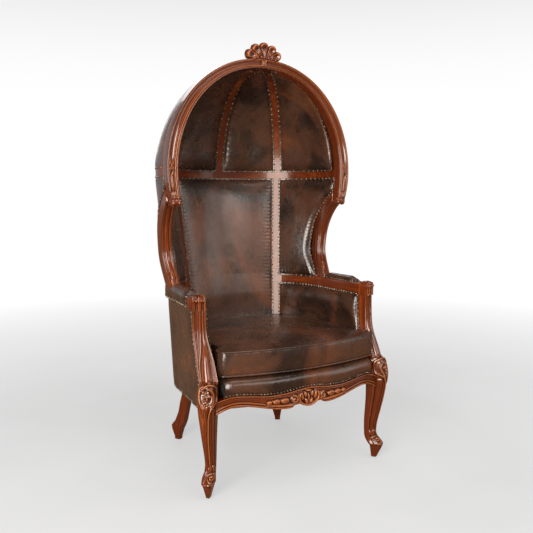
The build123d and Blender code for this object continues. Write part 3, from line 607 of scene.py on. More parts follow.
def makeFaceFrame():
    f = faceFrame
    inner, outer = archLine(f["inner"]), archLine(f["outer"])
    run = runLength((inner + outer) / 2)
    at = np.linspace(0, run[-1], f["rows"])
    inner, outer = pointsAt(at, run, inner), pointsAt(at, run, outer)
    edges = ((inner, f["back"]), (inner, f["front"]), (outer, f["front"]), (outer, f["back"]))
    corners = [lifted(line, y)[:, [0, 2, 1]] for line, y in edges]
    rings, front, across = mouldedRings(corners, f)
    plain, levels = moulding(across, f["members"], f["quirk"]), -(inner + outer)[:, 1] / 2
    tie, top, foot = [float(np.interp(-f[key], levels, at)) for key in ("tie", "budTop", "budFoot")]
    # The hollow has a round tip at the crown, and points above and below the tie
    start, end = f["hollow"]
    run, place = at[:, None], (across - start) / (end - start) * 2 - 1      # across the hollow, from -1 to 1
    point = f["tieGap"] + f["pointLength"] * np.abs(place) ** 1.4
    tip = f["crownGap"] + f["tipLength"] * (1 - halfRound(place))
    inside = np.where(run < tie, np.minimum(run - tip, tie - point - run), run - tie - point)
    height = f["flat"] + (plain - f["flat"]) * smoothStep(inside, 0, f["edge"])
    height = np.where(np.abs(place) < 1, height + f["rim"] * bell(inside, 0, f["rimWidth"]), plain)
    # The crossed ribbons at the crown and at the tie, the bud below it, and the leaves at the foot
    side = (across - (start + end) / 2) * np.linalg.norm(outer - inner, axis=1)[:, None]
    relief = Relief(run + 0 * side, side, height)
    for middle, (half, length) in zip((0.0, tie), f["ribbons"]):
        for way in (f["ribbonAside"], -f["ribbonAside"]):
            relief.ridge([(middle - length, -way), (middle, 0), (middle + length, way)], half, *f["ribbonShape"])
    relief.petal(((top + foot) / 2, 0), ((foot - top) / 2, f["budHalf"]), 0, *f["bud"])
    for way in (-1, 0, 1):
        place = (at[-1] - f["leafPlace"], way * f["leafStep"])
        relief.petal(place, f["leafSize"], f["leafTurn"] * way, *f["leaf"])
    carveFront("faceArch", pairOf("face_arch"), rings, front, relief.height)


makeFaceFrame()

# The scroll at the foot of the face frame: two fluted lobes and two leaf balls over a barrel, and a drop
scroll = {
    "place": (0.3685, -0.063, 1.028), "flutes": 9, "fluteDepth": 0.0011,
    "lobe": ((0.0118, 0.0185, 0.0), (0.0105, 0.0165, 0.0165), 26, 44),
    "leaf": ((0.0075, 0.011, 0.0165), (0.0075, 0.0095, 0.0085), 16, 22),
    "barrel": ((0.001, 0.033, 0.001), (0.0175, 0.031, 0.015), 18, 28),
    "drop": ((0.0, 0.0075, 0.0025), (0.0042, 0.006, 0.0115), 14, 18),
}


def makeScrolls():
    s, carving = scroll, Carving(blur=5)

    def fluted(tilt, spin):
        around = np.arctan2(np.sin(tilt), np.cos(tilt) * np.sin(spin))
        return s["fluteDepth"] * np.cos(s["flutes"] * around) * np.cos(tilt) ** 0.5

    for key, side, relief, power in (("lobe", -1, fluted, 1), ("leaf", -1, None, 1), ("lobe", 1, fluted, 1),
                                     ("leaf", 1, None, 1), ("barrel", 1, None, 0.75), ("drop", 1, None, 1)):
        shift, radii, rows, columns = s[key]
        carving.addLump(np.array(s["place"]) + shift * np.array([side, 1, 1]), radii, rows, columns, relief, power)
    carving.place("archScroll")


makeScrolls()

print("stage: wing posts")
wingPost = {
    "foot": 0.327, "head": 0.352, "level": 0.7, "width": 0.044, "rows": 210, "counts": (18, 50, 18, 8),
    "rounding": 0.0022, "quirk": 0.0042, "middle": 0.475, "tips": 4, "tipPlace": 0.014, "tipStep": 0.0085,
    "tip": ((0.0042, 0.012), 0, 0.0032, -0.002), "leaf": ((0.06, 0), (0.022, 0.0085), 0, 0.0045, -0.0012, 0.001),
    "members": (
        ("round", 0.0, 0.1, -0.0018, 0.002), ("round", 0.12, 0.215, -0.0026, 0.0024),
        ("round", 0.25, 0.7, -0.0036, 0.0042), ("hollow", 0.735, 0.845, -0.0016, -0.0024),
        ("round", 0.87, 1.0, -0.0022, 0.0024),
    ),
}
scoop = {
    "foot": -0.0117, "level": 0.7, "frontDepth": 0.0837, "rearDepth": 0.1277, "frontRise": 0.32, "rearRise": 0.376,
    "front": ((0.283, -0.019), (0.88, 0.275), (1, 0.469), (0.857, 0.6875), (0.427, 0.89), (0, 1)),
    "rear": ((0.561, -0.016), (0.937, 0.234), (1, 0.42), (0.89, 0.638), (0.561, 0.824), (0, 1)),
}


# The scoop's front or rear curve: places along Y, and how far up the leaning post
def scoopLine(which, count):
    points = [(scoop["foot"] + scoop[which + "Depth"] * y, scoop[which + "Rise"] * z) for y, z in scoop[which]]
    return smoothLine(points, count)


def makeWingPosts():
    w = wingPost
    lean = math.atan2(w["head"] - w["foot"], scoop["frontRise"])
    upward, outward = np.array([math.sin(lean), 0, math.cos(lean)]), np.array([math.cos(lean), 0, -math.sin(lean)])
    corners = []
    for which, side in (("rear", 0), ("front", 0), ("front", 1), ("rear", 1)):
        line = scoopLine(which, w["rows"])
        points = np.array([w["foot"], 0, w["level"]]) + line[:, 1:] * upward
        points[:, 1] = line[:, 0]
        points = points + outward * w["width"] * side
        points[:, 2] = np.maximum(points[:, 2], w["level"] + wall["seam"])
        corners.append(points)
    rings, front, across = mouldedRings(corners, w)
    side, run = (across[None] - w["middle"]) * w["width"], runLength(corners[1])[:, None]
    # Leaf tips at the foot of the moulding
    relief = Relief(run + 0 * side, side, moulding(across, w["members"], w["quirk"]))
    for index in range(w["tips"]):
        relief.petal((w["tipPlace"] + w["tipStep"] * index, 0), *w["tip"])
    relief.petal(*w["leaf"])
    carveFront("wingPost", pairOf("wing_post"), rings, front, relief.height)


makeWingPosts()

print("stage: crest")
crest = {
    "foot": 1.5725, "front": -0.057, "back": -0.031, "height": 0.0675, "lobeRadius": 0.019, "lobes": 5, "turn": 33.0,
    "widthShare": 1.35, "rows": 56, "columns": 190, "sink": 0.004, "bow": 0.006,
    "level": 0.0005, "swell": 0.0042, "lip": 0.006, "lipPlace": (0.88, 0.1), "hollow": 0.0062,
    "hollowPlace": (0.66, 0.13), "rib": 0.0019, "ribs": 1.5, "cleft": 0.0042, "cleftWide": 0.16, "husk": 0.0055,
    "huskPlace": (0.13, 0.085), "husks": 14, "beads": 3, "beadStep": 0.0155, "beadDrop": 0.0009,
    "beadPlace": (-0.0012, 0.005), "bead": (0.0062, 0.0062, 0.0056),
}


# A shell of lobes, each with a lip, a hollow under it and ribs, over a row of beads
def makeCrest():
    c = crest
    angle, share = np.linspace(0.0, math.pi, c["columns"]), np.linspace(0.02, 1, c["rows"])[:, None]
    reach, outline, middles = c["height"] - c["lobeRadius"], np.zeros(c["columns"]), []
    for index in range(c["lobes"]):
        turn = math.radians(90 + (index - (c["lobes"] - 1) / 2) * c["turn"])
        x, z = c["widthShare"] * reach * math.cos(turn), reach * math.sin(turn)
        along = x * np.cos(angle) + z * np.sin(angle)
        inside = along**2 - (x * x + z * z) + c["lobeRadius"] ** 2
        outline = np.maximum(outline, np.where(inside > 0, along + np.sqrt(np.maximum(inside, 0)), 0))
        middles.append(math.atan2(z, x))                            # as an angle seen from the crest's foot
    notched, middles = blurred(outline[None].repeat(3, 0), 2)[1], np.array(middles)
    between = (middles[1:] + middles[:-1]) / 2
    bounds = np.concatenate([[2 * middles[0] - between[0]], between, [2 * middles[-1] - between[-1]]])
    lobe = np.clip(np.searchsorted(bounds, angle) - 1, 0, c["lobes"] - 1)
    offset = (angle - middles[lobe]) / ((bounds[1:] - bounds[:-1])[lobe] / 2)       # across the lobe, from -1 to 1
    offset = np.clip(offset, -1, 1)[None]
    flute = np.cos(offset * upright)
    rib = c["rib"] * np.abs(np.cos(offset * math.pi * c["ribs"])) * window(share, 0.05, 0.3, 0.5, 0.72)
    lip = c["lip"] * bell(share, *c["lipPlace"]) * flute**0.5
    height = c["level"] + c["swell"] * flute**0.6 * smoothStep(share, 0.0, 0.5) + lip
    height = height - c["hollow"] * bell(share, *c["hollowPlace"]) * bell(offset, 0, 0.55) + rib
    height = height - c["cleft"] * bell(1 - np.abs(offset), 0, c["cleftWide"]) * smoothStep(share, 0.15, 0.5)
    height = height + c["husk"] * bell(share, *c["huskPlace"]) * (0.65 + 0.35 * np.cos(angle[None] * c["husks"]))
    x, z = notched * share * np.cos(angle)[None], c["foot"] - c["sink"] + notched * share * np.sin(angle)[None]
    # The shell hugs the arch at its sides
    half, edge = (c["back"] - c["front"]) / 2, halfRound(((share - 0.9) / 0.1).clip(0, 1))
    middle = (c["front"] + c["back"]) / 2 + c["bow"] * (x / (c["widthShare"] * c["height"])) ** 2
    front = np.stack([x, middle - (half - c["sink"] + height) * edge, z], -1)
    carving = Carving()
    carving.addBoard(front, np.stack([x, middle + half * edge * 0.96, z], -1), height, 22,
                     np.stack([z - c["foot"], x, front[..., 1]], -1))
    for index in range(-c["beads"], c["beads"] + 1):
        y, z = c["front"] + c["beadPlace"][0], c["foot"] + c["beadPlace"][1] - c["beadDrop"] * index**2
        carving.addLump((index * c["beadStep"], y, z), c["bead"], 12, 18)
    carving.place("crestShell", ("crest_shell",), pair=False)


makeCrest()

print("stage: arm supports")
armSupport = {
    "levels": (0.418, 0.4659, 0.5119, 0.5709, 0.654), "x": (0.358, 0.357, 0.357, 0.362, 0.363),
    "y": (-0.296, -0.27299, -0.25102, -0.23503, -0.231), "width": (0.066, 0.064, 0.057, 0.05, 0.05),
    "depth": 0.042, "turn": 22.0, "rows": 200, "counts": (14, 76, 14, 8), "rounding": 0.0026, "ground": -0.005,
    "rises": (0.0, 0.12, 0.26, 0.35, 0.5, 0.65, 1.0),                # 0 at the knee, 1 at the arm rail
    "band": (0.25, 0.235, 0.2, 0.16, 0.11, 0.085, 0.085), "lobe": (0.86, 0.84, 0.76, 0.64, 0.45, 0.33, 0.31),
    "reed": (0.945, 0.94, 0.915, 0.84, 0.68, 0.55, 0.53), "hollow": (0.95, 0.945, 0.925, 0.9, 0.85, 0.82, 0.81),
    "reedTall": 0.005, "reeds": ((0.018, -0.01, 0.014), (0.01, -0.006, 0.001)),    # gaps on its sides, swelling
    "swelled": (0.3, 0.62), "cove": (-0.0012, 0.0042), "coveWide": 0.16, "outerBead": 0.0048,
    "edgeBead": (0.075, 0.0046),
    "innerBead": (0.056, 0.0044), "sweep": 0.085, "sweepSpan": 0.147, "sweepDip": (-0.0018, 0.0022), "sweepEnd": 0.13,
}


def supportAt(z):
    return tuple(float(np.interp(z, armSupport["levels"], armSupport[key])) for key in ("x", "y", "width"))


# A place beside an upright that is turned outwards like the arm support
def turnedPlace(x, y, a, b):
    cosine, sine = math.cos(math.radians(armSupport["turn"])), math.sin(math.radians(armSupport["turn"]))
    return x + a * cosine - b * sine, y + a * sine + b * cosine


# Its corner lines: inner rear, inner front, outer front, outer rear
def turnedPost(x, y, z, half, rear, front):
    corners = ((-half, rear), (-half, front), (half, front), (half, rear))
    return [np.stack([*turnedPlace(x, y, a, b), z], 1) for a, b in corners]


def makeArmSupports():
    s = armSupport
    line = smoothLine(list(zip(s["levels"], s["x"], s["y"], s["width"])), 400)
    z = np.linspace(s["levels"][0] - 0.01, s["levels"][-1] + 0.004, s["rows"])
    x, y, width = pointsAt(z, line[:, 0], line[:, 1:]).T
    corners = turnedPost(x, y, z, width / 2, s["depth"] / 2, -s["depth"] / 2)
    rings, front, across = mouldedRings(corners, s)
    rise = ((z - s["levels"][0]) / (s["levels"][-1] - s["levels"][0]))[:, None]
    u = np.broadcast_to(across[None], (len(z), len(across)))
    band, lobe, reed, hollow = [np.interp(rise, s["rises"], s[key]) for key in ("band", "lobe", "reed", "hollow")]

    def arch(start, end):
        return halfRound(2 * (u - start) / np.maximum(end - start, 0.01) - 1)

    def dip(share, level, deep):
        return level - deep * np.sin(math.pi * np.clip(share, 0, 1))

    # A reed that swells into a smooth lobe over the knee, and a thin one beside it
    relief = Relief(u, u, np.full(u.shape, s["ground"]))
    swelling, closing = 1 - smoothStep(rise, *s["swelled"]), rollOver(rise + 0.06, 0.1)
    for start, end, (before, after, swell) in zip((band, lobe), (lobe, reed), s["reeds"]):
        bump = arch(start + before, end + after) * (s["reedTall"] + swell * swelling) * closing
        relief.rise(bump, s["ground"])
    # A hollow that runs out between the thin reed and the outer bead, and that bead
    cove, wide = (u - reed) / np.maximum(hollow - reed, 0.005), np.clip((hollow - reed) / s["coveWide"], 0, 1)
    level, deep = s["cove"]
    relief.height = np.where((cove > 0.08) & (cove < 0.94), dip(cove, level, deep * wide), relief.height)
    relief.rise(arch(hollow, 1.0) * s["outerBead"], s["ground"])
    # The inner sweep: a bead at its edge, a hollow and a second bead
    (edge, edgeTall), (wide, tall) = s["edgeBead"], s["innerBead"]
    relief.rise(arch(0.0, edge) * edgeTall, s["ground"])
    start, span = s["sweep"], s["sweepSpan"]
    sunk = dip((u - start) / np.maximum(band - span, 0.01), *s["sweepDip"])
    relief.height = np.where((u > start) & (u < band - (span - start)), sunk, relief.height)
    before = relief.height
    relief.rise(arch(band - wide, band) * tall, s["ground"])
    height = np.where(band > s["sweepEnd"], relief.height, before) * smoothStep(1.02 - rise, 0, 0.03)
    carveFront("armSupport", pairOf("arm_support"), rings, front, height)


makeArmSupports()

# The arm rails, from the back stiles round to the arm supports
armRail = {
    "low": 0.6545, "high": 0.7, "rows": 110, "counts": (8, 12, 8, 8), "rounding": 0.0045, "straight": -0.19,
    "innerTip": ((0.3335, -0.221), (0.3445, -0.2493)),
    "outerTip": ((0.394, -0.205), (0.3925, -0.22), (0.3885, -0.2313)),
    "inner": (0.32, 0.334), "outer": (0.367, 0.396), "front": -0.262, "width": 0.047,
}
railBack = planAt(wall["arms"])[4]


# Inner and outer edge of an arm rail at a place along it
def railPlan(y):
    share = (railBack - y) / (railBack - armRail["front"])
    return [a + (b - a) * share for a, b in (armRail["inner"], armRail["outer"])]


def makeArmRails():
    r = armRail
    start = stileFlanks(wall["arms"])[0] + wall["seam"] / planAt(wall["arms"])[1]
    lines = []
    for edge, offset, tip in ((0, 0.0, r["innerTip"]), (1, r["width"], r["outerTip"])):
        front = [(railPlan(y)[edge], y) for y in np.linspace(railBack - 0.001, r["straight"], 12)] + list(tip)
        lines.append(wallRow(wall["arms"], offset, start, front, np.linspace(0, 1, r["rows"]))[:, :2])
    corners = [lifted(lines[side], r[level]) for side, level in ((0, "low"), (0, "high"), (1, "high"), (1, "low"))]
    carving = Carving()
    carving.addRings(mouldedRings(corners, r)[0])
    carving.place("armRail", pairOf("arm_rail"))


# The nose of each arm: two slots between flutes, under a row of beads and a leaf
armNose = {
    "x": 0.363, "y": -0.231, "half": 0.0252, "rear": 0.019, "front": -0.0265, "low": 0.6525, "high": 0.7085, "rows": 80,
    "counts": (14, 64, 14, 8), "rounding": 0.0024, "slots": (0.21, 0.665), "slotHalf": 0.125, "slotDepth": 0.0062,
    "beads": (0.1, 0.3, 0.5, 0.7, 0.9), "bead": ((0.085, 0.075), 0, 0.0052, 0.0), "beadLevel": 0.69,
    "domed": 0.76, "flare": 0.05, "flarePlace": (0.7, 0.12), "wave": (0.001, 0.0014, 0.44, 0.455), "slotEnd": 0.62,
    "leafTall": 0.0016, "leaves": 4, "leafFrom": 0.8, "neck": 0.0016, "neckPlace": (0.785, 0.018),
}


def makeArmNoses():
    n = armNose
    share = np.linspace(0, 1, n["rows"])
    z = n["low"] + (n["high"] - n["low"]) * share
    dome = halfRound(np.clip((share - n["domed"]) / (1 - n["domed"]), 0, 0.96))
    flare = 1 + n["flare"] * bell(share, *n["flarePlace"])
    corners = turnedPost(n["x"], n["y"], z, n["half"] * dome * flare, n["rear"] * dome, n["front"] * dome * flare)
    rings, front, across = mouldedRings(corners, n)
    share, u, (level, tall, middle, pitch) = share[:, None], across[None], n["wave"]
    height = level + tall * np.cos((u - middle) * 2 * math.pi / pitch)
    for slot in n["slots"]:
        sunk = n["slotDepth"] * window(share, 0.0, 0.06, n["slotEnd"] - 0.06, n["slotEnd"])
        height = height - sunk * halfRound((u - slot) / n["slotHalf"])
    relief = Relief(u, share, height)
    for bead in n["beads"]:
        relief.petal((bead, n["beadLevel"]), *n["bead"])
    leaves = np.cos((u - 0.5) * 2 * math.pi * n["leaves"]) * smoothStep(share, n["leafFrom"], n["leafFrom"] + 0.06)
    height = relief.height - n["neck"] * bell(share, *n["neckPlace"]) + n["leafTall"] * leaves
    carveFront("armNose", (), rings, front, height, 12)


makeArmRails()
makeArmNoses()

print("stage: front legs")
frontLeg = {
    "x": 0.366, "y": -0.307, "sway": 0.014, "size": 0.076, "height": 0.418, "across": 0.78, "outward": 1.12,
    "corner": 0.27,
    "levels": (0, 0.033, 0.11, 0.148, 0.196, 0.258, 0.359, 0.478, 0.61, 0.718, 0.825, 0.921, 1),
    "side": (0, 0.07, 0.21, 0.07, -0.64, -1, -0.93, -0.57, -0.21, 0, 0.07, -0.07, -0.36),
    "deep": (0, -0.14, -0.57, -0.29, 0.57, 0.79, 0.71, 0.36, -0.07, -0.29, -0.36, -0.07, 0.36),
    "girth": (0.316, 0.395, 0.618, 0.684, 0.592, 0.539, 0.592, 0.697, 0.816, 0.921, 1, 0.974, 0.895),
    "rows": 330, "face": 30, "corners": 26, "top": 0.4235, "roundFrom": 0.395, "roundDeep": 0.0286, "topRound": 0.48,
    "facing": 24.0, "block": 0.0575, "blockSunk": 0.0026, "footSunk": (0.002, 0.004),
    "shin": (0.1, 0.125, 0.325, 0.345), "arris": (-0.0016, 0.002), "groove": (0.0026, -0.005, 0.0022),
    "flutes": ((0.175, 0.045, 0.003), (0.365, 0.035, 0.0034)),     # place and width in the leg's girth, depth
    "kneeStep": (0.0022, 0.003, (0.325, 0.335, 0.345, 0.372)), "field": ((-0.007, 0.3735), (0.0225, 0.0285), 0.0056),
    # The C-scrolls of the knee: line, half width, height
    "scrolls": (
        (((-0.0127, 0.405), (-0.0055, 0.4105), (0.0029, 0.4125), (0.0125, 0.4105), (0.0215, 0.404), (0.0275, 0.3933),
          (0.03, 0.3799), (0.03, 0.3652), (0.027, 0.353)), 0.0026, 0.0046),
        (((-0.0043, 0.3995), (0.0053, 0.3995), (0.0137, 0.3925), (0.0185, 0.3799), (0.0185, 0.3652), (0.015, 0.353),
          (0.0077, 0.342)), 0.0018, 0.003),
        (((-0.0255, 0.405), (-0.0295, 0.3897), (-0.03, 0.3726), (-0.027, 0.353), (-0.0222, 0.3408),
          (-0.0172, 0.331)), 0.0026, 0.0034),
    ),
    "coils": (((-0.018, 0.403), 0.0062, 1.2, 0.4, 1, 0.0019, 0.0036, 0.0004),     # place, radius, turns, start, way,
              ((0.012, 0.344), 0.005, 1.2, 0.4, -1, 0.0019, 0.0036, 0.0004)),    # half width, height, ground
    "cluster": (                                                    # across, height, half width, half length
        (-0.0175, 0.3909, 0.0046, 0.0062), (-0.0088, 0.388, 0.0044, 0.005), (0.0034, 0.3787, 0.0052, 0.0095),
        (-0.016, 0.3736, 0.005, 0.0052), (-0.004, 0.368, 0.004, 0.0046), (-0.0182, 0.3612, 0.004, 0.0042),
        (-0.0091, 0.3591, 0.005, 0.0054), (-0.0025, 0.3525, 0.0044, 0.0046), (-0.0125, 0.348, 0.0042, 0.0044),
    ),
    "drop": (                                                       # place, size, turn, height, ground, vein, taper
        ((-0.0139, 0.324), (0.02, 0.0072), upright, 0.0046, -0.001, 0.0014, -0.35),
        ((-0.0204, 0.337), (0.012, 0.0042), upright + 0.45, 0.004, -0.0006, 0.0008, 0.0),
        ((-0.0074, 0.337), (0.012, 0.0042), upright - 0.45, 0.004, -0.0006, 0.0008, 0.0),
    ),
    "sweep": ((-0.0025, 0.112), (-0.0034, 0.15), (-0.004, 0.2), (-0.003, 0.24), (-0.0005, 0.295), (0.0017, 0.3114),
              (0.0053, 0.3261), (0.0101, 0.3359), (0.0173, 0.3445), (0.0269, 0.3535), (0.0341, 0.36)),
    "sweepShape": (0.0023, 0.004, -0.0006), "beadShape": (0.0078, -0.0046), "toeShape": (0.0042, -0.0002, 0.001),
    "volute": ((0.005, 0.08), 0.015, 1.6, -upright, -1, 0.0028, 0.0062, -0.0008), "voluteGap": 0.003,
    "voluteGround": -0.0016, "toeSwell": 0.001, "eye": ((0.005, 0.08), (0.0046, 0.0046), 0, 0.0074, -0.0006),
    "toe": (((-0.002, 0.106), (0.0125, 0.004), 1.35), ((0.0095, 0.108), (0.013, 0.0042), 1.75),
            ((-0.0175, 0.08), (0.02, 0.0062), 1.3), ((-0.009, 0.095), (0.016, 0.0038), 1.3)),
}


# Relief of a leg as it is seen from outside, by places across it, towards the rail, and heights: a C-scroll round
# a cluster of beads, a leaf drop, the rail's bead that sweeps down the arris, and a volute on the toe
def legRelief(x, z, girth):
    f = frontLeg
    shin, sweepLine = window(z, *f["shin"]), np.array(f["sweep"])
    past = x - np.interp(z, sweepLine[:, 1], sweepLine[:, 0])
    (level, wide), (deep, *place) = f["arris"], f["groove"]
    height = level * smoothStep(past, 0.0, wide) * shin - deep * bell(past, *place) * shin
    for place, wide, deep in f["flutes"]:
        height = height - deep * bell(x / girth, place, wide) * shin
    deep, wide, levels = f["kneeStep"]
    height = height - deep * smoothStep(past, 0, wide) * window(z, *levels)
    place, half, deep = f["field"]
    inside = ((x - place[0]) / half[0]) ** 2 + ((z - place[1]) / half[1]) ** 2
    height = np.where(inside < 1, np.minimum(height, -deep * np.sqrt(np.clip(1 - inside**3, 0, 1))), height)
    relief = Relief(x, z, height)
    relief.ridge(f["sweep"], *f["sweepShape"])
    for line, half, tall in f["scrolls"]:
        relief.ridge(smoothLine(line, 30).tolist(), half, tall)
    for coil in f["coils"]:
        relief.coil(*coil)
    for beadX, beadZ, wide, tall in f["cluster"]:
        relief.petal((beadX, beadZ), (tall, wide), 1.2 if tall < 0.009 else 0.95 + upright, *f["beadShape"])
    for leaf in f["drop"]:
        relief.petal(*leaf)
    place, radius = f["volute"][:2]
    disc = 1 - ((x - place[0]) ** 2 + (z - place[1]) ** 2) / (radius + f["voluteGap"]) ** 2
    toe = window(z, f["block"], f["block"] + 0.003, 0.104, 0.116)
    relief.height = np.where(disc > 0, f["voluteGround"], relief.height + f["toeSwell"] * toe)
    relief.coil(*f["volute"])
    relief.petal(*f["eye"])
    for leaf in f["toe"]:
        relief.petal(*leaf, *f["toeShape"])
    return relief.height


def makeFrontLegs():
    f = frontLeg
    line = smoothLine(list(zip(f["levels"], f["side"], f["deep"], f["girth"])), 900)
    share = np.linspace(0, f["top"] / f["height"], f["rows"])
    side, deep, girth = pointsAt(share, line[:, 0], line[:, 1:]).T
    x, y, size = f["x"] + f["sway"] * side, f["y"] + f["sway"] * deep, f["size"] * girth
    z, corner, columns = f["height"] * share, size * f["corner"], []
    for face in range(4):
        angle = math.radians(-45 + 90 * face)                       # face 0 looks outward, face 3 towards the rail
        normal, across = np.array([math.cos(angle), math.sin(angle)]), np.array([-math.sin(angle), math.cos(angle)])
        shares = (f["outward"], f["across"]) if face % 2 == 0 else (f["across"], f["outward"])
        deep, flat = size * shares[0] / 2 - corner, size * shares[1] / 2 - corner
        outline = [(deep + corner, flat * t) for t in np.linspace(-1, 1, f["face"])]
        for turn in np.linspace(0, upright, f["corners"])[1:-1]:
            outline.append((deep + corner * math.cos(turn), flat + corner * math.sin(turn)))
        columns += [np.stack([n * out + a * aside for n, a in zip(normal, across)], 1) for out, aside in outline]
    shrink = 1 - f["topRound"] * (1 - halfRound(np.clip((z - f["roundFrom"]) / f["roundDeep"], 0, 1)))
    rings = np.stack([lifted(np.stack([x, y], 1) + column * shrink[:, None], z) for column in columns], 1)
    high = np.broadcast_to(z[:, None], rings.shape[:2])
    cosine, sine = math.cos(math.radians(f["facing"])), math.sin(math.radians(f["facing"]))
    offX, offY = rings[..., 0] - x[:, None], rings[..., 1] - y[:, None]
    seenDeep = (offX * sine - offY * cosine) / size[:, None]
    relief = legRelief(-(offX * cosine + offY * sine), high, size[:, None]) * smoothStep(seenDeep, 0.02, 0.16)
    relief, (deep, reach) = relief * window(high, f["block"] - 0.002, f["block"], 0.417, 0.4225), f["footSunk"]
    relief = relief - f["blockSunk"] * (1 - smoothStep(high, f["block"] - 0.003, f["block"]))
    carving = Carving()
    carving.addRings(rings, relief - deep * smoothStep(reach - high, 0, reach))
    carving.place("frontLeg", pairOf("front_leg"))


makeFrontLegs()

print("stage: front rail")
frontRail = {
    "half": 0.346, "end": 0.348, "endFront": -0.33, "bow": 0.055, "depth": 0.034, "rows": 56, "columns": 520,
    "top": ((0, 0.3665), (0.045, 0.3635), (0.075, 0.3585), (0.13, 0.3545), (0.165, 0.3545), (0.22, 0.36),
            (0.275, 0.364), (0.31, 0.359), (0.34, 0.35), (0.348, 0.348)),
    "edge": ((0.046, 0.3075), (0.066, 0.3005), (0.092, 0.2965), (0.157, 0.305), (0.25, 0.3235), (0.31, 0.317),
             (0.348, 0.298)),
    "shell": (0.329, 0.046, 0.0337), "beads": ((0.0038, 0.0038, 0.0028), (0.0138, 0.0032, 0.0024)),
    "quirks": ((0.0088, 0.004), (0.0182, 0.0032)), "quirkWidth": 0.0012, "topBead": (0.0034, 0.003, 0.0026),
    "level": -0.0006, "topQuirk": (0.0036, 0.0078), "lowEdge": (0.003, 0.0028),
    "bed": ((0.108, 0.3265), (0.066, 0.016), 0.006, 0.0036),
    "husks": ((0.099, 0.017, 0.0098), (0.132, 0.0152, 0.009), (0.159, 0.011, 0.0078)), "huskLevel": 0.3285,
    "huskTall": 0.012, "huskGround": -0.0036, "ledgeShape": (0.004, 0.0062, -0.0012), "rimShape": (0.0038, 0.0066),
    "ledge": ((0.165, 0.3185), (0.14, 0.315), (0.12, 0.3125), (0.085, 0.3095), (0.066, 0.3105), (0.052, 0.3175)),
    "curl": ((0.061, 0.3285), 0.013), "curlShape": (0.0042, 0.0078, 0.0008), "curlBed": (0.006, -0.003),
    "oval": (0.04, 0.3325, 0.029, 0.0058), "rim": (0.0415, 0.331, 0.0315),
    "petals": (                                                     # place, size, turn from upright, height
        ((0.029, 0.335), (0.0165, 0.0062), 0.2, 0.01), ((0.0145, 0.34), (0.0115, 0.0058), 0.1, 0.009),
        ((0.01, 0.3145), (0.0125, 0.006), 0.4, 0.0095),
    ),
    "petalGround": (-0.005, 0.0016),
    "middlePetals": (((0.0, 0.354), (0.012, 0.005), 0, 0.009, -0.004, 0.0016),
                     ((0.0, 0.327), (0.014, 0.0036), upright, 0.007, -0.005)),
}


def bowFront(x, setback):
    f = frontRail
    radius = (f["end"] ** 2 + f["bow"] ** 2) / (2 * f["bow"])
    return f["endFront"] + setback - f["bow"] + radius - np.sqrt(radius**2 - x**2)


def railEdge(x):
    half = frontRail["edge"]
    line = smoothLine([(-a, b) for a, b in reversed(half)] + list(half), 700)
    return np.interp(x, line[:, 0], line[:, 1])


# The rail's upper edge rises in the middle and towards the legs
railTopLine = smoothLine(frontRail["top"], 400)


def railTop(x):
    return np.interp(np.abs(x), railTopLine[:, 0], railTopLine[:, 1])


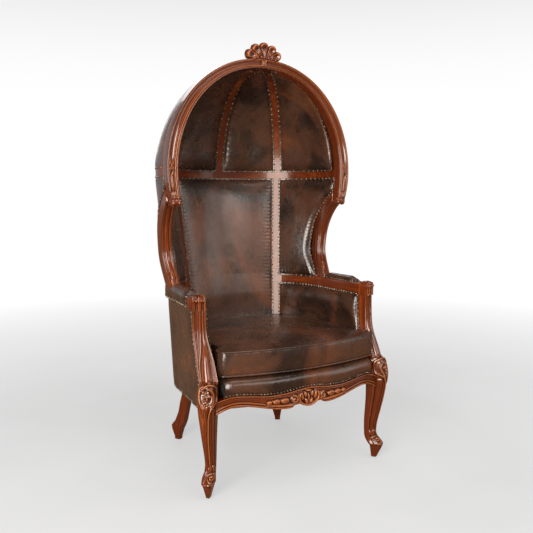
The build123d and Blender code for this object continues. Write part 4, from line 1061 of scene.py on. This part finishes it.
def makeFrontRail():
    f = frontRail
    x = np.linspace(-f["half"], f["half"], f["columns"])
    middleZ, halfWide, halfHigh = f["shell"]
    low, inShell = railEdge(x), np.clip(1 - (x / halfWide) ** 2, 0, 1)
    low = np.minimum(low, np.where(inShell > 0, middleZ - halfHigh * np.sqrt(inShell), low))
    z = low[None] + (railTop(x) - low)[None] * np.linspace(0, 1, f["rows"])[:, None]
    across = np.broadcast_to(x[None], z.shape)
    above, below = (z - low[None]) / np.sqrt(1 + np.gradient(low, x) ** 2)[None], railTop(x)[None] - z
    height = np.full(z.shape, f["level"])
    for place, deep in f["quirks"]:
        height = height - deep * bell(above, place, f["quirkWidth"])
    relief = Relief(across, z, height)
    for distance, (middle, half, tall) in ((above, f["beads"][0]), (above, f["beads"][1]), (below, f["topBead"])):
        relief.rise(tall * halfRound((distance - middle) / half))
    (quirkDeep, place), (edgeDeep, reach) = f["topQuirk"], f["lowEdge"]
    relief.height = relief.height - quirkDeep * bell(below, place, f["quirkWidth"])
    relief.height = relief.height - edgeDeep * (1 - rollOver(above, reach))
    # Husks that grow towards the middle over a ledge, and a curl beside the shell
    for way in (-1, 1):
        (bedX, bedZ), size, deep, most = f["bed"]
        sunk = relief.petalShape((way * bedX, bedZ), size, 0, deep)
        relief.height = np.where(sunk > 0, np.minimum(relief.height, -np.minimum(sunk, most)), relief.height)
        relief.ridge([(way * a, b) for a, b in f["ledge"]], *f["ledgeShape"])
        for place, halfLong, halfTall in f["husks"]:
            barrel = relief.petalShape((way * place, f["huskLevel"]), (halfLong, halfTall), 0, 1.0)
            relief.rise(f["huskTall"] * barrel**0.6 * (barrel > 0), f["huskGround"])
        (curlX, curlZ), radius = f["curl"]
        relief.petal((way * curlX, curlZ), (radius + 0.0015, radius + 0.0015), 0, *f["curlBed"])
        relief.coil((way * curlX, curlZ), radius, 1.1, upright, way, *f["curlShape"])
    # The middle: a sunk oval with curling petals and a rim below
    wide, level, high, deep = f["oval"]
    relief.height = np.where((across / wide) ** 2 + ((z - level) / high) ** 2 < 1, -deep, relief.height)
    wide, level, high = f["rim"]
    turns = np.linspace(-math.pi * 1.12, math.pi * 0.12, 50)
    relief.ridge([(wide * math.cos(a), level + high * math.sin(a)) for a in turns], *f["rimShape"])
    for petal in f["middlePetals"]:
        relief.petal(*petal)
    for way in (-1, 1):
        for place, size, turn, tall in f["petals"]:
            relief.petal((way * place[0], place[1]), size, upright - way * turn, tall, *f["petalGround"])
    height, slope = relief.height, np.gradient(bowFront(x, 0), x)
    scale = 1 / np.sqrt(1 + slope**2)
    front = np.stack([across + height * (slope * scale)[None], bowFront(x, 0)[None] - height * scale[None], z], -1)
    back = np.stack([across, bowFront(x, f["depth"])[None] + 0 * z, z], -1)
    carving = Carving()
    carving.addBoard(front, back, height, 16, np.stack([across, z, 0 * z], -1))
    carving.place("frontRail", ("front_rail",), pair=False)


makeFrontRail()

print("stage: leather panels")
panels = {
    "step": 0.005, "lap": 0.008, "leather": 0.0013, "pucker": 0.0012, "puckerReach": 0.018, "seam": 0.0002,
    "tight": 0.0158, "wide": 0.025, "nailInset": 0.0036, "nailEnd": 0.01, "nailRadius": 0.0042,
    "edge": (0.0, 0.0012, 0.0036, 0.0058, 0.008, 0.0092, 0.0112, 0.014),
    "inside": (0.0, 0.08, 0.95), "domeInside": (0.0, 0.05, 1.15), "hoopUnder": 1.118, "hoopOver": 1.1613,
    "stileLap": {"back": 0.0025, "side": 0.0175}, "seat": 0.4003, "rail": 0.3102, "armUnder": 0.6537, "armOver": 0.7003,
}
nailPlaces, nailDirections = [], []
sideNames = ("left", "right", "bottom", "top")
lap = panels["lap"]


# Distances, measured on the leather, from the four edges of a grid
def edgeDistances(grid):
    across, up = [np.linalg.norm(np.diff(grid, axis=axis), axis=2) for axis in (1, 0)]
    fromLeft = np.concatenate([np.zeros((len(grid), 1)), np.cumsum(across, 1)], 1)
    fromBottom = np.concatenate([np.zeros((1, grid.shape[1])), np.cumsum(up, 0)], 0)
    return fromLeft, fromLeft[:, -1:] - fromLeft, fromBottom, fromBottom[-1:] - fromBottom


# Shares of a length, close together at its ends, where the leather laps over the wood
def edgedShares(length, step=None):
    edge = np.array(panels["edge"])
    count = max(3, int(round((length - 2 * edge[-1]) / (step or panels["step"]))) + 1)
    middle = np.linspace(edge[-1], length - edge[-1], count)
    return np.concatenate([edge[:-1], middle, length - edge[:-1][::-1]]) / length


def rowsBetween(low, high):
    return low + (high - low) * edgedShares(high - low)


# Padded leather: flat on its lap along a nailed edge, drawn down at each nail and puffed between them
def padLeather(grid, towards, crown, roll, nails, pitch):
    normals, distances = gridNormals(grid, towards), dict(zip(sideNames, edgeDistances(grid)))
    height, inner = np.ones(grid.shape[:2]) * crown, np.ones(grid.shape[:2])
    for side in sideNames:
        height = height * rollOver(np.maximum(distances[side] - (lap if side in nails else 0.0), 0), roll)
        if side in nails:
            inner = inner * smoothStep(distances[side], lap, lap + 0.004)
    for side in nails:
        run, rest = [distances[key] for key in (sideNames[2:] if side in sideNames[:2] else sideNames[:2])]
        length = {"left": run[-1, 0], "right": run[-1, -1], "bottom": run[0, -1], "top": run[-1, -1]}[side]
        clear = length - 2 * panels["nailEnd"]
        along = run / np.maximum(run + rest, 1e-9) * length - panels["nailEnd"]
        beyond = np.maximum(distances[side] - lap, 0)
        fade = np.exp(-beyond / panels["puckerReach"]) * smoothStep(beyond, 0, 0.007) * np.clip(clear / 0.05, 0, 1)
        waves = 2 * math.pi * along * max(1, round(clear / pitch)) / max(clear, 0.01)
        height = height - panels["pucker"] * np.cos(waves) * fade
    return grid + normals * (np.maximum(height, 0) + panels["leather"])[..., None], normals, inner


# Nails along one edge of a finished panel
def nailEdge(surface, normals, side, pitch, radius):
    distance = dict(zip(sideNames, edgeDistances(surface)))[side]
    if side in sideNames[:2]:
        distance, surface, normals = distance.T, surface.transpose(1, 0, 2), normals.transpose(1, 0, 2)
    pick, order = np.argmin(np.abs(distance - panels["nailInset"]), axis=0), np.arange(distance.shape[1])
    run = runLength(surface[pick, order])
    clear = run[-1] - 2 * panels["nailEnd"]
    if clear >= pitch / 2:
        at = panels["nailEnd"] + np.linspace(0, clear, max(1, round(clear / pitch)) + 1)
        nailPlaces.append(lifted(pointsAt(at, run, surface[pick, order]), radius))
        nailDirections.append(pointsAt(at, run, normals[pick, order]))


# One padded panel, and its twin on the other side of the chair where it has one
def addPanel(name, nodeNames, grid, towards, crown, depth, roll, nails=sideNames, pitch="tight", pitches=(),
             radius=panels["nailRadius"]):
    mirror = np.array([-1.0, 1.0, 1.0])
    sides = (("Right", 1), ("Left", mirror)) if len(nodeNames) > 1 else (("", 1),)
    for (suffix, way), nodeName in zip(sides, nodeNames):
        surface, normals, inner = padLeather(grid * way, np.array(towards) * way, crown, roll, nails, panels[pitch])
        under = grid * way - normals * (depth * inner - panels["seam"] * (1 - inner))[..., None]
        points, faces = closedBetween(surface, under)
        replaced = [nodeName] if nodeName else ()
        addMesh(name + suffix, points, faces, leather, "leather", replaces=replaced)
        for side in nails:
            nailEdge(surface, normals, side, panels["wide" if side in pitches else pitch], radius)


# Where the leather of a panel starts beside a stile, as an angle
def besideStile(z, which):
    lapped = (panels["stileLap"][which] - wall["seam"]) / planAt(z)[1]
    return stileFlanks(z)[1] + lapped if which == "back" else stileFlanks(z)[0] - lapped


def offsetAt(z, outside):
    return atLevel(z, "thickness") if outside else 0.0


# Back panel, inside and outside
def backGrid(levels, outside):
    shares = edgedShares(0.46 if outside else 0.42)
    rows = []
    for z in levels:
        centre, radius = planAt(z)[:2]
        reach, angle = radius + offsetAt(z, outside), besideStile(z, "back") * (2 * shares - 1)
        rows.append(np.stack([reach * np.sin(angle), centre + reach * np.cos(angle), z + 0 * angle], 1))
    return np.array(rows)


# Pads swell more above the seat cushion
def swellAbove(grid, low, high):
    return low + (high - low) * smoothStep(grid[..., 2], 0.52, 0.62)


backInside = backGrid(rowsBetween(panels["seat"], panels["hoopUnder"] + lap), False)
addPanel("backPad", ["back_pad"], backInside, panels["inside"], swellAbove(backInside, 0.011, 0.022), 0.02, 0.095,
         ("left", "right", "top"), pitches=("top",))
addPanel("outerBack", ["outer_back"], backGrid(rowsBetween(panels["rail"], panels["hoopUnder"] + lap), True),
         (0, 3.0, 0.9), 0.003, 0.004, 0.05, pitch="wide")


# Arm panels end at a rear corner of the arm support and lap over its face
def armGrid(levels, outside):
    turn, shares = math.radians(armSupport["turn"]), edgedShares(0.52 if outside else 0.47)
    rows = []
    for z in levels:
        x, y, width = supportAt(z)
        corner = np.array(turnedPlace(x, y, width / 2 if outside else -width / 2, armSupport["depth"] / 2))
        front = (corner, corner + lap * np.array([math.sin(turn), -math.cos(turn)]))
        rows.append(wallRow(z, offsetAt(z, outside), besideStile(z, "side"), front, shares))
    return np.array(rows)


armInside = armGrid(rowsBetween(panels["seat"], panels["armUnder"] + lap), False)
addPanel("armPad", pairOf("arm_pad"), armInside, (0, 0, 0.55), swellAbove(armInside, 0.011, 0.023), 0.02, 0.075,
         ("left", "right", "top"))
addPanel("outerArm", pairOf("outer_arm"), armGrid(rowsBetween(panels["rail"], panels["armUnder"]), True),
         (3.0, 0, 0.55), 0.003, 0.004, 0.04, ("right", "bottom"))

# Wings, whose front edge follows the wing post's scoop
wing = {
    "levels": (0.7, 1.02, 1.09, 1.13), "post": (0.327, 0.352, 0.358, 0.36), "reach": {False: 0.032, True: 0.045},
}
rearScoop = scoopLine("rear", 200)


def wingGrid(levels, outside):
    shares = edgedShares(0.4)
    rows = []
    for z in levels:
        side, up, endY = atLevel(z, "halfWidth") + offsetAt(z, outside), z - scoop["level"], None
        if up < rearScoop[-1, 1]:
            endY = float(np.interp(up, rearScoop[:, 1], rearScoop[:, 0])) - lap
        front = ((side, wall["frameBack"]), (side, wall["frameBack"] - lap))
        row = wallRow(z, offsetAt(z, outside), besideStile(z, "side"), front, shares, endY)
        post = float(np.interp(z, wing["levels"], wing["post"])) + (wingPost["width"] if outside else 0.0)
        fromEnd = runLength(row)[-1] - runLength(row)
        row[:, 0] += (post - side) * (1 - smoothStep(fromEnd, lap, wing["reach"][outside]))
        rows.append(row)
    return np.array(rows)


wingTop = panels["hoopUnder"] + lap
addPanel("wingPad", pairOf("wing_pad"), wingGrid(rowsBetween(panels["armOver"] - lap, wingTop), False),
         panels["inside"], 0.022, 0.018, 0.105, pitches=("top", "bottom"))
addPanel("outerWing", pairOf("outer_wing"), wingGrid(rowsBetween(panels["armOver"], wingTop), True), (3.0, 1.2, 0.9),
         0.003, 0.004, 0.05, ("left", "right", "top"), "wide")

# Dome: bays between the ribs, inside and outside
dome = {
    "level": 1.142, "rise": 0.396, "flat": 0.105, "frontFlat": 0.04, "pole": -0.047, "reach": 0.405, "drawIn": 0.009,
    "crownThickness": 0.5, "ribHalf": 0.0203, "frameGap": 0.0353, "length": 0.6, "outer": 0.03, "steepest": 0.95,
    "backEnd": 1.36, "frontEnd": 1.1,
}
ribAngle = sum(stileFlanks(dome["level"])) / 2


def hoopReach(angle):
    turn, sideX, sideY, side = planAt(dome["level"])[2:]
    along = sideX * np.sin(angle) + (sideY - dome["pole"]) * np.cos(angle)
    beyond = side**2 - sideX**2 - (sideY - dome["pole"]) ** 2
    straight = atLevel(dome["level"], "halfWidth") / np.sin(np.maximum(angle, 0.5))
    return np.where(angle < turn, dome["reach"], np.minimum(along + np.sqrt(along**2 + beyond), straight))


# The dome's surface: an angle round the pole, and a height share from the hoop to the crown
def domePoint(angle, share, offset):
    front = np.clip((angle - ribAngle) / (upright - ribAngle), 0, 1)
    flat = dome["flat"] + (dome["frontFlat"] - dome["flat"]) * front
    rise = dome["rise"] + dome["crownThickness"] * offset
    low = math.asin((panels["hoopOver"] - dome["level"]) / rise)
    slope = low + (upright - low) * np.minimum(share, 1.0)
    radius = flat + (hoopReach(angle) - flat + offset) * np.cos(slope)
    if offset > 0:                                      # the outer leather is drawn in between rib and frame
        between = window(angle, ribAngle, ribAngle + 0.3, 1.3, 1.56)
        radius = radius - dome["drawIn"] * between * np.sin(2 * slope)
    return radius * (1 - np.clip(share - 1.0, 0, 1)), dome["level"] + rise * np.sin(slope)


def domeGrid(front, offset):
    first, last, shares = -lap / dome["length"], dome["frontEnd" if front else "backEnd"], edgedShares(0.3)
    beside = lambda gap, radius: min(dome["steepest"], gap / float(radius))
    rows = []
    for share in first + (last - first) * edgedShares(dome["length"] * (last - first), 0.0085):
        low, high = (ribAngle, upright) if front else (0.0, ribAngle)
        for _ in range(12):
            lowRadius, highRadius = domePoint(low, share, offset)[0], domePoint(high, share, offset)[0]
            low = math.asin(beside(dome["ribHalf"] - lap, lowRadius)) + (ribAngle if front else 0)
            if front:
                high = math.acos(beside(dome["frameGap"], highRadius))
            else:
                high = ribAngle - math.asin(beside(dome["ribHalf"] - lap, highRadius))
        angle = low + (max(high, low + 0.01) - low) * shares
        radius, z = domePoint(angle, share, offset)
        rows.append(np.stack([radius * np.sin(angle), dome["pole"] + radius * np.cos(angle), z + 0 * angle], 1))
    return np.array(rows)


for front, part in ((False, "Back"), (True, "Side")):
    nails = ("left", "right", "bottom")
    addPanel("domePad" + part, pairOf("dome_pad_" + part.lower()), domeGrid(front, 0.0), panels["domeInside"],
             0.022, 0.016, 0.08, nails, "wide")
    outer = domeGrid(front, dome["outer"])
    addPanel("outerDome" + part, pairOf("outer_dome_" + part.lower()), outer,
             outer.mean((0, 1)) * 3 - np.array(panels["domeInside"]) * 2, 0.003, 0.004, 0.05, nails, "wide")

print("stage: arm rests")
armRest = {
    "front": -0.182, "back": 0.012, "edge": 0.004, "round": 0.008, "low": 0.6562, "top": 0.7003, "crown": 0.02,
    "sideCrown": 0.006, "roll": 0.03, "across": 0.085, "bandLength": 0.42,
}


# The pad over an arm rail, from its inner edge over the top and down its outer side
def armRestGrid():
    r, turn, columns = armRest, np.linspace(upright, 0, 8), []
    length = r["back"] - r["front"]
    for y in r["front"] + length * edgedShares(length, 0.004):
        inner, outer = railPlan(y)
        x = np.concatenate([[inner + r["edge"]], outer - r["round"] + r["round"] * np.cos(turn), [outer]])
        z = np.concatenate([[r["top"]], r["top"] - r["round"] + r["round"] * np.sin(turn), [r["low"]]])
        line = np.stack([x, y + 0 * x, z], 1)
        run = runLength(line)
        columns.append(pointsAt(run[-1] * edgedShares(r["across"], 0.003), run, line))
    grid = np.array(columns).transpose(1, 0, 2)
    over, topWidth = edgeDistances(grid)[2][:, :1], armRail["width"] - r["edge"]
    return grid, r["crown"] + (r["sideCrown"] - r["crown"]) * smoothStep(over, topWidth - 0.012, topWidth + 0.01)


# The leather band beside it, on the outer side of the rail
def armBandGrid():
    r, z = armRest, wall["arms"]
    front = [(railPlan(y)[1], y) for y in (railBack - 0.001, r["back"] - 0.004)]
    row = wallRow(z, armRail["width"], stileFlanks(z)[0] + 0.001, front, edgedShares(r["bandLength"]))
    return np.array([lifted(row[:, :2], level) for level in rowsBetween(r["low"], r["top"] + 0.001)])


restGrid, restCrown = armRestGrid()
addPanel("armRest", pairOf("arm_rest"), restGrid, (1.5, 0, 1.9), restCrown, 0.0, armRest["roll"],
         ("left", "bottom", "top"))
addPanel("armBand", [None, None], armBandGrid(), (3.0, 0.5, 0.7), 0.0015, 0.0, 0.02, ("bottom",))

print("stage: seat border")
panels["border"] = 0.0125
seatBorder = {
    "half": 0.318, "setback": 0.005, "overRail": 0.0006, "shoulder": 0.386, "round": 0.027, "back": 0.036,
    "crown": 0.017, "roll": 0.036, "nailRadius": 0.003, "across": 0.085,
}


def borderGrid():
    b, turn, columns = seatBorder, np.linspace(0, upright, 10), []
    back = np.concatenate([[0], b["round"] * (1 - np.cos(turn)), [b["back"]]])
    for x in b["half"] * (2 * edgedShares(2 * b["half"]) - 1):
        z = b["shoulder"] + b["round"] * np.sin(turn)
        line = np.stack([back, np.concatenate([[railTop(x) + b["overRail"]], z, z[-1:]])], 1)
        run = runLength(line)
        deep, z = pointsAt(run[-1] * edgedShares(b["across"], 0.0035), run, line).T
        columns.append(np.stack([x + 0 * z, bowFront(x, b["setback"] + deep), z], 1))
    return np.array(columns).transpose(1, 0, 2)


addPanel("frontBorder", ["front_border"], borderGrid(), (0, -3.0, 1.2), seatBorder["crown"], 0.0, seatBorder["roll"],
         ("bottom",), "border", radius=seatBorder["nailRadius"])

print("stage: seat inside")
seatInside = {
    "deckTop": 0.4245, "deckCrown": 0.006, "deckLow": 0.347, "deckGap": 0.012, "deckFront": 0.0455, "frontHalf": 0.3,
    "deckDrop": 0.012, "deckRound": 0.022, "deckColours": ((0.055, 0.047, 0.04), (0.105, 0.092, 0.078)),
    "strap": 0.05, "strapThick": 0.0022, "pitch": 0.092, "straps": 6, "webbing": 0.3441, "weave": 0.0014,
    "middle": -0.053, "strapFront": 0.035, "strapGap": 0.001, "strapRows": 72,
    "strapColours": ((0.16, 0.105, 0.055), (0.36, 0.26, 0.15)),
    "coverTop": 0.3113, "coverThick": 0.0009, "coverSag": 0.0025, "coverGap": 0.0006, "coverFront": 0.0346,
    "coverHalf": 0.3015, "coverColours": ((0.012, 0.012, 0.012), (0.03, 0.03, 0.031)),
}


# How far back the seat's plan goes at a place across it
def seatBack(x, z, gap):
    centre, radius, turn, sideX, sideY, side = planAt(z)
    x = np.abs(np.asarray(x, float))
    back = centre + np.sqrt(np.maximum((radius - gap) ** 2 - x**2, 0))
    flank = sideY + np.sqrt(np.maximum((side - gap) ** 2 - np.maximum(x - sideX, 0) ** 2, 0))
    return np.where(x < (radius - gap) * math.sin(turn), back, flank)


# A slab that fills the seat's plan: a top with a rise in its middle, and its underside
def seatSlab(z, low, gap, front, half, rise, rows=64, columns=76):
    x, t = half * (2 * edgedShares(2 * half, 2 * half / columns) - 1), edgedShares(0.5, 0.5 / rows)[:, None]
    y0, y1 = bowFront(x, front), seatBack(x, z, gap)
    bulge = (1 - (x[None] / half) ** 2) * 4 * t * (1 - t)
    y = y0[None] + (y1 - y0)[None] * t
    grid = np.stack([x[None] + 0 * y, y, z + rise * bulge], -1)
    under = grid.copy()
    under[..., 2] = low if rise > 0 else grid[..., 2] - (z - low)
    return grid, under


def makeDeckAndCover():
    s = seatInside
    grid, under = seatSlab(s["deckTop"], s["deckLow"], s["deckGap"], s["deckFront"], s["frontHalf"], s["deckCrown"])
    grid[..., 2] -= s["deckDrop"] * (1 - rollOver(np.minimum.reduce(edgeDistances(grid)), s["deckRound"]))
    deck = addMesh("seatDeck", *closedBetween(grid, under), plainCloth("deckCloth", *s["deckColours"], 900.0),
                   "deck_cloth", replaces=["seat_deck"])
    low = s["coverTop"] - s["coverThick"]
    grid, under = seatSlab(s["coverTop"], low, s["coverGap"], s["coverFront"], s["coverHalf"], -s["coverSag"])
    cover = addMesh("dustCover", *closedBetween(grid, under), plainCloth("dustCloth", *s["coverColours"], 1400.0),
                    "dust_cloth", replaces=["dust_cover"])


# Straps both ways under the deck, over and under each other
def makeWebbing():
    s = seatInside
    points, faces, half, rows = [], [], (s["straps"] - 1) / 2, s["strapRows"]
    widths = np.linspace(0, 0.303, 400)
    front, back = bowFront(widths, s["strapFront"]), seatBack(widths, s["webbing"], s["strapGap"])
    for way in (0, 1):
        for index in range(s["straps"]):
            edges = (index - half) * s["pitch"] + np.array([-s["strap"] / 2, s["strap"] / 2])
            if way == 0:                                            # from the front rail to the back
                low = float(np.max(bowFront(edges, s["strapFront"])))
                high = float(np.min(seatBack(edges, s["webbing"], s["strapGap"])))
            else:                                                   # from side to side
                edges = edges + s["middle"]
                high = min(widths[(back > y) & (front < y)].max(initial=0) for y in edges)
                low = -high
            run = np.linspace(low, high, rows)
            crossing = (run - (0 if way else s["middle"])) / s["pitch"] - half
            lift = s["weave"] * np.cos(math.pi * crossing + math.pi * index) * (-1 if way else 1)
            z = s["webbing"] + lift * np.clip(np.minimum(run - low, high - run) / 0.03, 0, 1)
            ring = []
            for side, up in ((0, 0), (1, 0), (1, 1), (0, 1)):
                line = [np.full(rows, edges[side]), run, z + (up - 0.5) * s["strapThick"]]
                ring.append(np.stack([line[k] for k in ((1, 0, 2) if way else (0, 1, 2))], 1))
            count = 4 * rows * len(points)
            points.append(np.stack(ring, 1).reshape(-1, 3))
            faces += [tuple(f) for f in gridFaces(rows, 4, count, round=True)]
            faces += [tuple(count + k for k in (0, 1, 2, 3)), tuple(count + (rows - 1) * 4 + k for k in (3, 2, 1, 0))]
    jute = plainCloth("juteWebbing", *s["strapColours"], 1100.0)
    addMesh("webbingStraps", np.concatenate(points), faces, jute, "webbing", replaces=["seat_webbing"], smooth=False)


makeDeckAndCover()
makeWebbing()

print("stage: seat cushion")
seatCushion = {
    "gap": 0.013, "waistGap": 0.028, "ear": 0.325, "earBack": -0.272, "earFront": -0.337, "bow": 0.05, "round": 0.018,
    "bottom": 0.4325, "height": 0.0868, "crown": 0.01, "boxing": 0.004, "voxel": 0.0075, "pressure": 4.0, "frames": 20,
    "topCap": 0.024, "sideCap": 0.008, "welt": 0.0034, "weltSides": 8, "weltTop": -0.0005, "weltLow": 0.003,
    "pinReach": 0.007, "pinLow": 0.004, "soften": 3, "backMiddle": 0.224,
    "underShares": (0.02, 0.2, 0.4, 0.6, 0.78, 0.9, 0.97), "sideRings": 12,
    "topShares": (0.985, 0.96, 0.92, 0.86, 0.78, 0.68, 0.56, 0.42, 0.28, 0.14, 0.02),
}


# The cushion's outline, evenly spaced and with its corners rounded
def cushionOutline(step=0.004, rounding=5):
    c = seatCushion
    centre, radius, turn, sideX, sideY, side = planAt(c["bottom"])
    x, _, width = supportAt(c["bottom"])
    waist = x - width / 2 * math.cos(math.radians(armSupport["turn"])) - c["waistGap"]
    back, flank = np.linspace(0, turn, 40), np.linspace(turn, upright, 30)[1:]
    right = list(zip((radius - c["gap"]) * np.sin(back), centre + (radius - c["gap"]) * np.cos(back)))
    right += list(zip(sideX + (side - c["gap"]) * np.sin(flank), sideY + (side - c["gap"]) * np.cos(flank)))
    right += [(waist, c["earBack"]), (c["ear"], c["earBack"] - c["round"]), (c["ear"], c["earFront"])]
    bow = (c["ear"] ** 2 + c["bow"] ** 2) / (2 * c["bow"])
    for place in np.linspace(c["ear"], 0, 30)[1:]:
        right.append((place, c["earFront"] - c["bow"] + bow - math.sqrt(bow**2 - place**2)))
    line = np.array(right + [(-a, b) for a, b in right[::-1]][1:])
    run = runLength(line)
    even = pointsAt(np.linspace(0, run[-1], 2 * int(run[-1] / step / 2), endpoint=False), run, line)
    for _ in range(rounding):
        even = (np.roll(even, 1, 0) + 2 * even + np.roll(even, -1, 0)) / 4
    return even


# Closed rings from the middle of the underside to the middle of the top
def cushionRings(outline):
    c, rings = seatCushion, []
    middle, top = np.array([0.0, (c["earFront"] + c["backMiddle"]) / 2]), c["bottom"] + c["height"]
    inward = unit(middle - outline)
    for share in c["underShares"]:
        rings.append((middle + (outline - middle) * share, c["bottom"]))
    for t in np.linspace(0, 1, c["sideRings"]):
        pull = c["boxing"] * (1 - (2 * t - 1) ** 2) - 0.5 * c["boxing"]
        edge = c["boxing"] * 0.5 * (1 - min(1, 8 * min(t, 1 - t)))
        rings.append((outline - inward * (pull - edge) * 0.8, c["bottom"] + c["height"] * t))
    for share in c["topShares"]:
        rise = c["crown"] * math.sqrt(1 - share**8) * (0.75 + 0.25 * (1 - share**2))
        rings.append((middle + (outline - middle) * share, top + rise))
    return np.array([lifted(ring, z) for ring, z in rings])


# Swells a closed mesh with pressure, held along its seams and its underside, and keeps the result
def swell(points, faces, held, cap):
    c = seatCushion
    mesh = bpy.data.meshes.new("swellStart")
    mesh.from_pydata(points.tolist(), [], faces)
    piece = link("swellStart", mesh)
    fixNormals(piece)
    remesh = piece.modifiers.new("remesh", "REMESH")
    remesh.mode, remesh.voxel_size = "VOXEL", c["voxel"]
    bpy.context.view_layer.update()
    start = bpy.data.meshes.new_from_object(piece.evaluated_get(bpy.context.evaluated_depsgraph_get()))
    piece.modifiers.clear()
    piece.data = start

    def places(mesh):
        values = np.empty(len(mesh.vertices) * 3)
        mesh.vertices.foreach_get("co", values)
        return values.reshape(-1, 3)

    before = places(start)
    group = piece.vertex_groups.new(name="held")
    group.add([int(i) for i in np.nonzero(held(before))[0]], 1.0, "REPLACE")
    cloth = piece.modifiers.new("cloth", "CLOTH")
    settings = cloth.settings
    settings.quality, settings.mass, settings.tension_stiffness, settings.compression_stiffness = 6, 0.3, 12.0, 12.0
    settings.shear_stiffness, settings.bending_stiffness = 6.0, 0.6
    settings.use_pressure, settings.uniform_pressure_force = True, c["pressure"]
    settings.effector_weights.gravity, settings.vertex_group_mass = 0.0, "held"
    cloth.point_cache.frame_start, cloth.point_cache.frame_end = 1, c["frames"]
    for frameNumber in range(1, c["frames"] + 1):
        bpy.context.scene.frame_set(frameNumber)
    moved = places(piece.evaluated_get(bpy.context.evaluated_depsgraph_get()).data) - before
    bpy.context.scene.frame_set(1)
    length, limit = np.linalg.norm(moved, axis=1, keepdims=True), cap(before)[:, None]
    moved = moved * limit * np.tanh(length / limit) / np.maximum(length, 1e-9)
    kept = float(np.linalg.norm(moved, axis=1).max())
    print("swelled by up to", round(float(length.max()) * 1000, 1), "mm, kept", round(kept * 1000, 1))
    faces = [tuple(face.vertices) for face in start.polygons]
    bpy.data.objects.remove(piece)
    return before + moved, faces


# Evens out a mesh between its seams
def softened(points, faces, passes, held):
    first, second = np.array([(a, b) for face in faces for a, b in zip(face, face[1:] + face[:1])]).T
    for _ in range(passes):
        total, count = np.zeros_like(points), np.zeros((len(points), 1))
        for here, there in ((first, second), (second, first)):
            np.add.at(total, here, points[there])
            np.add.at(count, here, 1)
        points = np.where(held[:, None], points, 0.5 * points + 0.5 * total / np.maximum(count, 1))
    return points


# A closed welt along a level line
def roundTube(name, line, radius, sides, material, body):
    ahead = unit(np.roll(line, -1, 0) - np.roll(line, 1, 0))
    up = np.broadcast_to([0.0, 0.0, 1.0], ahead.shape)
    turn = np.linspace(0, 2 * math.pi, sides, endpoint=False)[None, :, None]
    rings = line[:, None] + radius * (np.cross(ahead, up)[:, None] * np.cos(turn) + up[:, None] * np.sin(turn))
    i, j = np.meshgrid(np.arange(len(line)), np.arange(sides), indexing="ij")
    k, m = (i + 1) % len(line), (j + 1) % sides
    faces = np.stack([i * sides + j, i * sides + m, k * sides + m, k * sides + j], -1).reshape(-1, 4)
    return addMesh(name, rings, faces, material, "leather", body)


def makeSeatCushion():
    c = seatCushion
    outline, top = cushionOutline(), c["bottom"] + c["height"]
    rings = cushionRings(outline)
    size, points = rings.shape[:2], rings.reshape(-1, 3)
    faces = [tuple(int(v) for v in face) for face in gridFaces(*size, round=True)] + endFaces(*size)

    def nearSeam(p):
        flat = np.concatenate([np.hypot(*np.moveaxis(part[:, None, :2] - outline[None], 2, 0)).min(1)
                               for part in np.array_split(p, len(p) // 2000 + 1)])
        level = np.minimum(np.abs(p[:, 2] - top), np.abs(p[:, 2] - c["bottom"]))
        return np.hypot(flat, level) < c["pinReach"]

    held = lambda p: nearSeam(p) | (p[:, 2] < c["bottom"] + c["pinLow"])
    cap = lambda p: np.where(p[:, 2] > top - c["pinLow"], c["topCap"] - c["crown"], c["sideCap"])
    points, faces = swell(points, faces, held, cap)
    points = softened(points, faces, c["soften"], nearSeam(points))
    cushion = addMesh("seatCushion", points, faces, leatherSeat, "leather", "cushion", replaces=["seat_cushion"])
    finer = cushion.modifiers.new("finer", "SUBSURF")
    finer.levels = finer.render_levels = 1
    for name, z in (("cushionWeltTop", top + c["weltTop"]), ("cushionWeltLow", c["bottom"] + c["weltLow"])):
        roundTube(name, lifted(outline, z), c["welt"], c["weltSides"], leatherSeat, "cushion")


makeSeatCushion()

print("stage: nails")
nailShape = {"sides": 10, "rings": ((0.45, 0.88), (0.8, 0.52), (1.0, 0.0)), "rise": 0.003, "shank": 0.002}


# Domed nail heads, all in one mesh: a middle, rings and a point in the leather
def addNails(name, places, directions):
    n, places, directions = nailShape, np.concatenate(places), unit(np.concatenate(directions))
    places, radius = places[:, :3], places[:, 3:]
    u = unit(np.cross(directions, np.where(np.abs(directions[:, 2:]) < 0.9, [[0, 0, 1.0]], [[1.0, 0, 0]])))
    v = np.cross(directions, u)
    points, sides = [places + directions * n["rise"]], n["sides"]
    for ring, height in n["rings"]:
        for a in np.linspace(0, 2 * math.pi, sides, endpoint=False):
            aside, up = radius * ring * (u * math.cos(a) + v * math.sin(a)), directions * n["rise"] * height
            points.append(places + aside + up)
    points.append(places - directions * n["shank"])
    faces, each, last = [], len(points), 1 + (len(n["rings"]) - 1) * sides
    for k in range(sides):
        following = (k + 1) % sides
        faces.append((0, 1 + k, 1 + following))
        for a in range(1, last, sides):
            faces.append((a + k, a + sides + k, a + sides + following, a + following))
        faces.append((last + k, each - 1, last + following))
    everyFace = [tuple(i * each + c for c in face) for i in range(len(places)) for face in faces]
    return addMesh(name, np.stack(points, 1), everyFace, brass)


addNails("panelNails", nailPlaces, nailDirections)

print("stage: finished")
